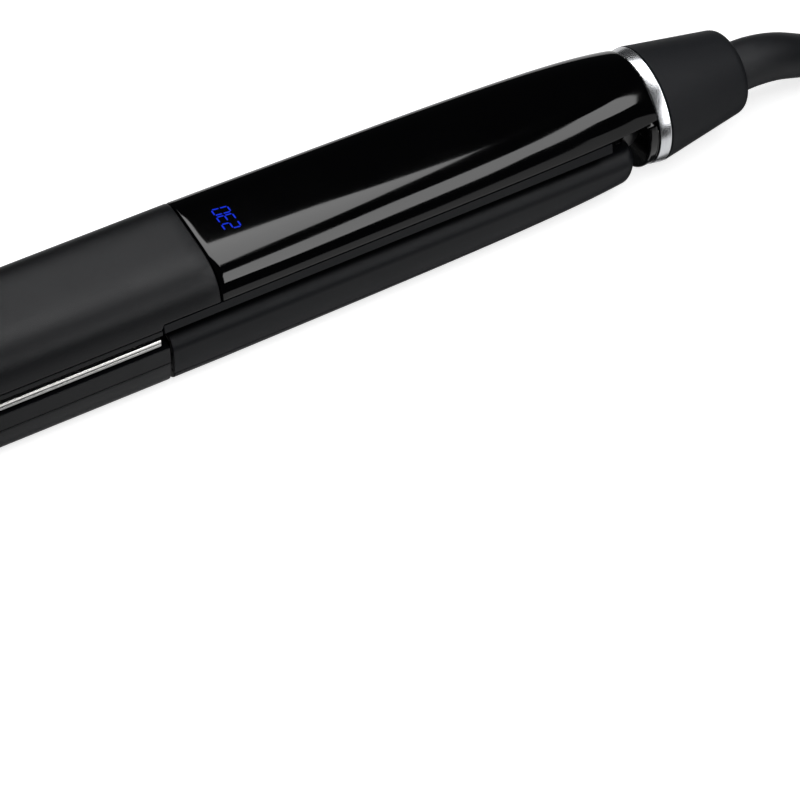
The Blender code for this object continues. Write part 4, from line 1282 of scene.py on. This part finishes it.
@dataclass
class TailEnd:
    """The silver ring, the tapered collar and the swivel in its end."""

    line: BodyLine
    collar_wall: float = 0.0021
    collar_round: float = 0.0024
    ring_taper: float = 0.0005
    ring_wall: float = 0.0025
    exit_radius: float = 0.0069
    exit_depth: float = 0.002

    def axis_point(self, x: float) -> Vector:
        """A point on the body's axis."""
        return Vector((x, 0, self.line.axis))

    def build_ring(self) -> None:
        """The ring: a turned band that widens a little towards the collar, with rounded edges."""
        length = self.line.ring_end - self.line.ring
        radius = self.line.ring_radius
        inner = radius - self.ring_wall
        corners = [
            (0.0, inner, 0.0),
            (0.0, radius - self.ring_taper, 0.0002),
            (length, radius, 0.0003),
            (length, inner, 0.0),
        ]
        ring = turned("satin_ring", rounded(corners), self.axis_point(self.line.ring), SATIN_SILVER)
        settled(ring, Body.UPPER, ["silver_ring"])

    def build_collar(self) -> None:
        """The collar: a cone from the ring to its rounded end, with a hole for the lead's boot."""
        start = self.line.ring_end + GAP
        length = self.line.collar_end - start
        wide, narrow = self.line.ring_radius - 0.00005, self.line.collar_end_radius
        corners = [
            (0.0, wide - self.collar_wall, 0.0),
            (0.0, wide, 0.0003),
            (length, narrow, self.collar_round),
            (length, self.exit_radius, 0.0005),
            (length - self.exit_depth, self.exit_radius, 0.0),
            (length - self.exit_depth, narrow + 0.0002 - self.collar_wall, 0.0),
        ]
        collar = turned("cord_collar", rounded(corners, 9), self.axis_point(start), MATTE_COLLAR)
        settled(collar, Body.UPPER, ["collar"])

    def build(self) -> None:
        """Builds the ring and the collar, and dresses the swivel."""
        self.build_ring()
        self.build_collar()
        dress("swivel_retainer", SWIVEL_NYLON)
        dress("swivel_barrel", SWIVEL_NYLON)


# --- the lead -------------------------------------------------------------------------------------


def through(route: Grid, spacing: float) -> Grid:
    """Evenly spaced points on a Catmull-Rom curve through a route's own points.

    Args:
        route: the route's points.
        spacing: the distance between the new points.

    Returns:
        The points.
    """
    ends = (2 * route[:1] - route[1:2], 2 * route[-1:] - route[-2:-1])
    own = np.concatenate([ends[0], route, ends[1]])
    a, b, c, d = own[:-3, None], own[1:-2, None], own[2:-1, None], own[3:, None]
    t = np.linspace(0, 1, 24, endpoint=False)[None, :, None]
    square, cube = 2 * a - 5 * b + 4 * c - d, 3 * b - a - 3 * c + d
    curve = 0.5 * (2 * b + (c - a) * t + square * t**2 + cube * t**3)
    fine = np.concatenate([curve.reshape(-1, 3), route[-1:]])
    along = np.concatenate([[0], np.cumsum(np.linalg.norm(np.diff(fine, axis=0), axis=1))])
    at = np.linspace(0, along[-1], max(2, round(along[-1] / spacing)) + 1)
    return np.stack([np.interp(at, along, fine[:, k]) for k in range(3)], -1)


def tube_points(path: Grid, radii: Grid, count: int) -> Grid:
    """A tube about a path that turns only in the plane y = 0 or lies near it: circles across its direction.

    Args:
        path: the centreline's points.
        radii: the radius at each point.
        count: how many points round each circle.

    Returns:
        The surface's points, a row for each point of the path.
    """
    ahead = np.gradient(path, axis=0)
    ahead /= np.linalg.norm(ahead, axis=1, keepdims=True)
    side = np.cross(np.array([0.0, 0.0, 1.0]), ahead)
    side /= np.linalg.norm(side, axis=1, keepdims=True)
    up = np.cross(ahead, side)
    t = np.linspace(0, math.tau, count, endpoint=False)[None, :, None]
    ring = side[:, None] * np.cos(t) + up[:, None] * np.sin(t)
    return path[:, None] + ring * radii[:, None, None]


def capped_tube(name: str, points: Grid, finish: Finish) -> bpy.types.Object:
    """A closed solid from a tube's rows of points.

    Args:
        name: the piece's name.
        points: rows of points round the tube.
        finish: its finish.

    Returns:
        The object.
    """
    rows, columns = points.shape[:2]
    faces = strip_faces(rows, columns, False, True).tolist()
    faces += [list(range(columns)), list(range((rows - 1) * columns, rows * columns))]
    return piece(name, points, faces, finish)


@dataclass
class MainsLead:
    """The lead: its boot, the free run to the floor, a tied hank, and a two-pin plug that lies on it."""

    line: BodyLine
    radius: float = 0.0034
    length: float = 1.8
    run: float = 0.055
    end_radius: float = 0.02037
    boot_share: float = 0.0475
    boot_radii: tuple[float, float] = (0.0064, 0.0043)
    boot_step: float = 0.0005
    boot_roll: float = 0.0007
    start_inside: int = 8
    # each wave on the plug: its start, end, pitch and depth, from the plug's back
    plug_relief: tuple[float, float, float, float] = (0.0025, 0.0165, 0.0035, 0.00045)
    plug_grip: tuple[float, float, float, float] = (0.032, 0.046, 0.0028, 0.00035)
    pin_radius: float = 0.0020
    pin_sleeve: float = 0.00012
    sleeve_start: float = 0.46  # share of the pin's length
    tie_place: float = 0.016
    tie_half_length: float = 0.0045
    tie_wall: float = 0.0002
    tie_inset: float = 0.00022
    # the route from the collar's end: forward, sideways, and height above the floor
    route_out: tuple = (
        (0.0004, 0.0000, 0.01630),
        (0.0070, 0.0000, 0.01615),
        (0.0140, 0.0000, 0.01465),
        (0.0220, 0.0000, 0.01130),
        (0.0310, 0.0000, 0.00760),
        (0.0400, 0.0000, 0.00520),
        (0.0480, 0.0000, 0.00440),
        (0.0600, 0.0000, 0.00380),
        (0.0745, 0.0000, 0.00360),
    )
    route_back: tuple = (
        (0.1040, -0.0034, 0.0244),
        (0.1170, -0.0034, 0.0244),
        (0.1295, -0.0034, 0.0244),
        (0.1414, -0.0066, 0.0244),
        (0.1501, -0.0153, 0.0244),
        (0.1533, -0.0272, 0.0244),
        (0.1501, -0.0391, 0.0244),
        (0.1414, -0.0478, 0.0244),
        (0.1295, -0.0510, 0.0244),
        (0.1200, -0.0490, 0.0249),
        (0.1100, -0.0431, 0.0261),
        (0.1010, -0.0374, 0.0273),
        (0.0950, -0.0353, 0.0278),
        (0.0906, -0.0352, 0.0278),
    )

    def routed(self, route: Sequence[Sequence[float]]) -> Grid:
        """A route's points in the frame, moved forward to the collar's end."""
        return np.array(route, float) + np.array([self.line.collar_end, 0, 0])

    def hank(self) -> Grid:
        """The hank's turns, each two straight runs joined by half circles: outer and inner on the floor,
        inner and outer on those, and outer and inner on top.

        A turn goes out along the far run, back round the far end and the near run, and round the near end.
        Its radius and height move to the next turn's over that last end, as a smooth step.

        Returns:
            The points, 36 a turn.
        """
        step = 2 * self.radius + 0.00003
        radii = self.end_radius + np.array([1, 0, 0, 1, 1, 0, 0]) * step
        height = self.radius + 0.0002 + np.array([0, 0, 1, 1, 2, 2, 2]) * step
        start = self.routed(self.route_out)[-1]
        centre_y = start[1] - radii[0]
        runs, ends = np.linspace(0, 1, 5, endpoint=False), np.linspace(0, 1, 13, endpoint=False)
        still, whole = np.zeros(runs.size), np.ones(ends.size)
        along = np.concatenate([runs, whole, 1 - runs, 0 * whole]) * self.run
        turned_by = np.concatenate([still, ends, still + 1, 1 + ends]) * math.pi
        share = np.concatenate([still, 0 * whole, still, ends])
        share = share * share * (3 - 2 * share)
        angle = math.pi / 2 - turned_by
        rows = []
        for k in range(6):
            r = radii[k] + (radii[k + 1] - radii[k]) * share
            z = height[k] + (height[k + 1] - height[k]) * share
            x, y = start[0] + along + r * np.cos(angle), centre_y + r * np.sin(angle)
            rows.append(np.stack([x, y, z], -1))
        return np.concatenate([*rows, [[start[0], centre_y + radii[6], height[6]]]])

    def build_cord(self) -> None:
        """The cord as one curve from inside its boot, through the hank, to the plug.
        """
        out, back = self.routed(self.route_out)[:-1], self.routed(self.route_back)
        route = np.concatenate([out, self.hank(), back])
        path = through(route, 0.0025)[self.start_inside :]
        curve = bpy.data.curves.new("mains_cord", "CURVE")
        curve.dimensions = "3D"
        spline = curve.splines.new("POLY")
        spline.points.add(len(path) - 1)
        spline.points.foreach_set("co", np.column_stack([path, np.ones(len(path))]).ravel())
        curve.bevel_depth = self.radius
        curve.bevel_resolution = 6
        curve.use_fill_caps = True
        curve.materials.append(LEAD_SHEATH.build())
        cord = bpy.data.objects.new("mains_cord", curve)
        bpy.context.scene.collection.objects.link(cord)
        settled(cord, Body.LOWER, ["cord_lead", "cord_hank", "cord_tail"])

    def boot_line(self) -> Grid:
        """The boot's centreline: the route's first stretch."""
        path = through(self.routed(self.route_out), self.boot_step)
        return path[: round(self.boot_share / self.boot_step) + 1]

    def build_boot(self, path: Grid) -> bpy.types.Object:
        """The boot: its radius falls from end to end as a smooth step, and its free end is rolled over.

        Args:
            path: the boot's centreline.

        Returns:
            The boot, which bends between the upper arm's collar and the lead on the floor.
        """
        share = np.linspace(0, 1, len(path))
        wide, narrow = self.boot_radii
        radii = wide + (narrow - wide) * (3 * share**2 - 2 * share**3)
        radii -= rolled(self.boot_share * (1 - share), self.boot_roll)
        boot = capped_tube("lead_boot", tube_points(path, radii, 72), BOOT_RUBBER)
        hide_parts("cord_boot")
        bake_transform(boot)
        LOG.info("lead_boot between the arms")
        return boot

    def build_plug(self) -> list[bpy.types.Object]:
        """The plug: superellipse sections |y/a|^3.6 + |z/b|^3.6 = 1 along a profile, with grip ridges.

        Returns:
            The plug's pieces.
        """
        low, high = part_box("plug_body")
        middle_y, middle_z = (low.y + high.y) / 2, (low.z + high.z) / 2
        half_width, half_height = (high.y - low.y) / 2, (high.z - low.z) / 2
        back = np.array([0.0, 0.4, 2, 8, 14, 20, 23, 29, 35, 41, 48, 53.2, 54]) * MILLIMETRE
        wide = np.array([3.6, 4.15, 4.2, 4.7, 5.4, 6.4, 10.9, 16.4, 17.3, 16.4, 14.2, 13.3, 12.6]) / 17.6
        tall = np.array([3.6, 4.15, 4.2, 4.5, 5.0, 5.7, 6.5, 6.8, 6.8, 6.8, 6.5, 6.0, 5.3]) / 6.8
        d = np.linspace(0, back[-1], 181)
        a = np.interp(d, back, wide) * half_width
        b = np.interp(d, back, tall) * half_height
        kernel = np.hanning(15) / np.hanning(15).sum()
        a = np.convolve(np.pad(a, 7, mode="edge"), kernel, "valid")
        b = np.convolve(np.pad(b, 7, mode="edge"), kernel, "valid")
        start, end, pitch, depth = self.plug_relief
        wave = np.maximum(0, np.sin(math.tau * (d - start) / pitch))
        groove = np.where((d > start) & (d < end), depth * wave**2, 0)
        start, end, pitch, depth = self.plug_grip
        wave = np.maximum(0, np.sin(math.tau * (d - start) / pitch))
        ridge = np.where((d > start) & (d < end), depth * wave, 0)
        a, b = a - groove - ridge, b - groove
        n = 2 + 1.6 * np.clip((d - 0.012) / 0.012, 0, 1)
        t = np.linspace(0, math.tau, 96, endpoint=False)[None, :]
        a, b, n = a[:, None], b[:, None], n[:, None]
        y, z = superellipse(a, b, n, t)
        x = np.broadcast_to((high.x - d)[:, None], y.shape)
        points = np.stack([x, middle_y + y, middle_z + z], -1)
        plug = capped_tube("plug_shell", points, PLUG_PLASTIC)
        settled(plug, Body.LOWER, ["plug_body"])
        pieces = [plug]
        for node in ("plug_pin_near", "plug_pin_far"):
            pieces += self.build_pin(node)
        return pieces

    def build_pin(self, node: str) -> list[bpy.types.Object]:
        """A pin with a domed tip, half sleeved in black.

        Args:
            node: the pin's node.

        Returns:
            The pin and its sleeve.
        """
        low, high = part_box(node)
        length = high.x - low.x
        radius = self.pin_radius
        t = np.linspace(0, math.pi / 2, 9)
        dome = [(radius * (1 - math.sin(k)), radius * math.cos(k)) for k in t[::-1]]
        profile = [*dome, (length, radius), (length, 0.0)]
        centre = Vector((low.x, (low.y + high.y) / 2, (low.z + high.z) / 2))
        pin = turned(f"{node}_metal", profile, centre, NICKEL_PIN)
        settled(pin, Body.LOWER, [node])
        start, end = length * self.sleeve_start, length - 0.0001
        within, without = radius - 0.0002, radius + self.pin_sleeve
        corners = [(start, within, 0.0), (start, without, 0.0001), (end, without, 0.0), (end, within, 0.0)]
        sleeve = turned(f"{node}_sleeve", rounded(corners), centre, PLUG_PLASTIC)
        settled(sleeve, Body.LOWER)
        return [pin, sleeve]

    def build_tie(self) -> bpy.types.Object:
        """A strap round the hank's near run: two squarish rings, |y/a|^7 + |z/b|^7 = 1, and flat faces.

        Returns:
            The strap.
        """
        low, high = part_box("cord_hank")
        half_height = (high.z - low.z) / 2
        x = self.routed(self.route_out)[-1][0] + self.tie_place
        centre = np.array([x, low.y + 2 * self.radius + self.tie_inset, high.z - half_height])
        t = np.linspace(0, math.tau, 96, endpoint=False)
        rings = []
        for grow in (0.0, -self.tie_wall):
            a, b = 2 * self.radius + 0.0002 + grow, half_height + 0.00008 + grow
            y, z = superellipse(a, b, 7, t)
            rings.append(np.stack([0 * t, y, z], -1) + centre)
        half_strap = np.array([self.tie_half_length, 0.0, 0.0])
        rows = (rings[0] - half_strap, rings[0] + half_strap, rings[1] + half_strap, rings[1] - half_strap)
        faces = strip_faces(t.size, 4, True, True).tolist()
        strap = piece("hank_tie", np.stack(rows, 1), faces, TIE_NYLON)
        return settled(strap, Body.LOWER)

    def build(self) -> None:
        """Builds the boot, the plug, the tie and the cord that joins them."""
        path = self.boot_line()
        pieces = [self.build_boot(path), *self.build_plug(), self.build_tie()]
        self.build_cord()


# --- studio ---------------------------------------------------------------------------------------


@dataclass(frozen=True)
class Panel:
    """A light panel on a sphere round the handle, outlined by azimuth and elevation in degrees.

    Azimuth 0 lies towards -Y and 90 towards +X.
    """

    name: str
    outline: tuple[tuple[float, float], ...]
    radiance: float

    def build(self, centre: Vector, distance: float) -> None:
        """Makes the panel, which shows in reflections only.

        Args:
            centre: the sphere's centre.
            distance: the sphere's radius.
        """
        angles = np.radians(np.array(self.outline))
        a, e = angles[:, 0], angles[:, 1]
        ways = np.stack([np.sin(a) * np.cos(e), -np.cos(a) * np.cos(e), np.sin(e)], -1)
        points = np.array(centre) + distance * ways
        mesh = bpy.data.meshes.new(self.name)
        mesh.from_pydata(points, [], [list(range(len(points)))])
        panel = bpy.data.objects.new(self.name, mesh)
        bpy.context.scene.collection.objects.link(panel)
        glow = bpy.data.materials.new(self.name)
        glow.use_nodes = True
        board = Board(glow.node_tree)
        glow.node_tree.nodes.clear()
        light = board.add("Emission", Strength=self.radiance)
        board.feed(board.add("OutputMaterial"), "Surface", light.outputs[0])
        mesh.materials.append(glow)
        panel.visible_camera = False
        panel.visible_diffuse = False
        panel.visible_shadow = False


@dataclass
class Studio:
    """A pale floor, softboxes and a camera."""

    target: tuple[float, float, float] = (0.0539, 0.0, -0.0570)
    azimuth: float = -28.8
    elevation: float = 49.67
    distance: float = 0.775
    lens: float = 136.6
    sensor: float = 36.0
    reach: float = 6.0
    floor_glow: float = 0.80
    softbox: tuple[float, float] = (1.6, 1.2)
    softbox_place: tuple[float, float, float] = (0.05, -0.3, 1.3)
    softbox_way: tuple[float, float, float] = (0.0, 0.25, -1.0)
    softbox_energy: float = 14.0
    panel_centre: tuple[float, float, float] = (0.06, 0.0, 0.02)
    panel_distance: float = 1.6
    surround: float = 0.025
    panels: tuple[Panel, ...] = (
        Panel(
            "main_softbox",
            (
                (16.5, -3), (21, 9), (24.3, 16), (30, 28.5), (46, 42), (59, 40), (72, 47.5), (92, 57),
                (85, 60.5), (64, 59.5), (45, 56), (34.6, 52.3), (28, 46.6), (22.6, 39.7), (12, 25), (10, -3),
            ),
            7.0,
        ),
        Panel(
            "top_softbox",
            (
                (150, 51.5), (143, 54.7), (132, 58), (114, 67.5),
                (90, 71.8), (60, 71), (30, 62), (190, 35),
            ),
            7.0,
        ),
        Panel(
            "low_card",
            (
                (18, -29), (22.5, -24), (25, -12), (30, 7), (41, 17),
                (60, 5), (60, -75), (0, -75), (0, -29),
            ),
            1.0,
        ),
        Panel("ring_card", ((158, 48), (176, 74), (205, 66), (200, 40)), 1.4),
        Panel("rear_card", ((120, -4), (200, -4), (200, -75), (120, -75)), 0.8),
    )

    def build_camera(self) -> None:
        """The camera, on a sphere round its target and looking at it."""
        a, e = math.radians(self.azimuth), math.radians(self.elevation)
        back = Vector((math.sin(a) * math.cos(e), -math.cos(a) * math.cos(e), math.sin(e)))
        data = bpy.data.cameras.new("camera")
        data.lens, data.sensor_width = self.lens, self.sensor
        data.clip_start, data.clip_end = 0.01, 20.0
        camera = bpy.data.objects.new("camera", data)
        camera.location = Vector(self.target) + back * self.distance
        camera.rotation_mode = "QUATERNION"
        camera.rotation_quaternion = (-back).to_track_quat("-Z", "Y")
        bpy.context.scene.collection.objects.link(camera)
        bpy.context.scene.camera = camera

    def build_floor(self) -> None:
        """A wide pale floor that glows a little, as a light table does."""
        reach = self.reach
        mesh = bpy.data.meshes.new("floor")
        corners = [(-reach, -reach, 0), (reach, -reach, 0), (reach, reach, 0), (-reach, reach, 0)]
        mesh.from_pydata([(x, y, z - 0.00005) for x, y, z in corners], [], [(0, 1, 2, 3)])
        floor = bpy.data.objects.new("floor", mesh)
        bpy.context.scene.collection.objects.link(floor)
        pale = bpy.data.materials.new("pale_floor")
        pale.use_nodes = True
        shader = pale.node_tree.nodes["Principled BSDF"]
        shader.inputs["Base Color"].default_value = (0.8, 0.8, 0.8, 1.0)
        shader.inputs["Roughness"].default_value = 1.0
        shader.inputs["Specular IOR Level"].default_value = 0.0
        shader.inputs["Emission Color"].default_value = (1.0, 1.0, 1.0, 1.0)
        shader.inputs["Emission Strength"].default_value = self.floor_glow
        mesh.materials.append(pale)
        floor.visible_glossy = False

    def build_lights(self) -> None:
        """An overhead softbox for the matt surfaces and the floor, and the panels in the reflections."""
        data = bpy.data.lights.new("overhead", "AREA")
        data.shape = "RECTANGLE"
        data.size, data.size_y = self.softbox
        data.energy = self.softbox_energy
        light = bpy.data.objects.new("overhead", data)
        light.location = self.softbox_place
        light.rotation_mode = "QUATERNION"
        light.rotation_quaternion = Vector(self.softbox_way).to_track_quat("-Z", "Y")
        light.visible_glossy = False
        light.visible_camera = False
        bpy.context.scene.collection.objects.link(light)
        for panel in self.panels:
            panel.build(Vector(self.panel_centre), self.panel_distance)

    def build_world(self) -> None:
        """A dark, even surround, with colours shown as they are."""
        world = bpy.data.worlds.new("surround")
        world.use_nodes = True
        shade = world.node_tree.nodes["Background"]
        shade.inputs["Color"].default_value = (0.9, 0.95, 1.0, 1.0)
        shade.inputs["Strength"].default_value = self.surround
        bpy.context.scene.world = world
        bpy.context.scene.view_settings.view_transform = "Standard"

    def build(self) -> None:
        """Builds the studio's parts other than the camera."""
        self.build_floor()
        self.build_lights()
        self.build_world()


def main() -> None:
    """Builds the studio, the lead and then each sub-assembly."""
    logging.basicConfig(level=logging.INFO, format="%(message)s")
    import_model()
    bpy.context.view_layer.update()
    studio = Studio()
    studio.build_camera()
    line = BodyLine.from_frame()
    MainsLead(line).build()
    for side in Side:
        FrontArm(line, side).build()
    UpperHandle(line).build()
    LowerHandle(line).build()
    HingeSet(line).build()
    TailEnd(line).build()
    studio.build()


if __name__ == "__main__":
    main()
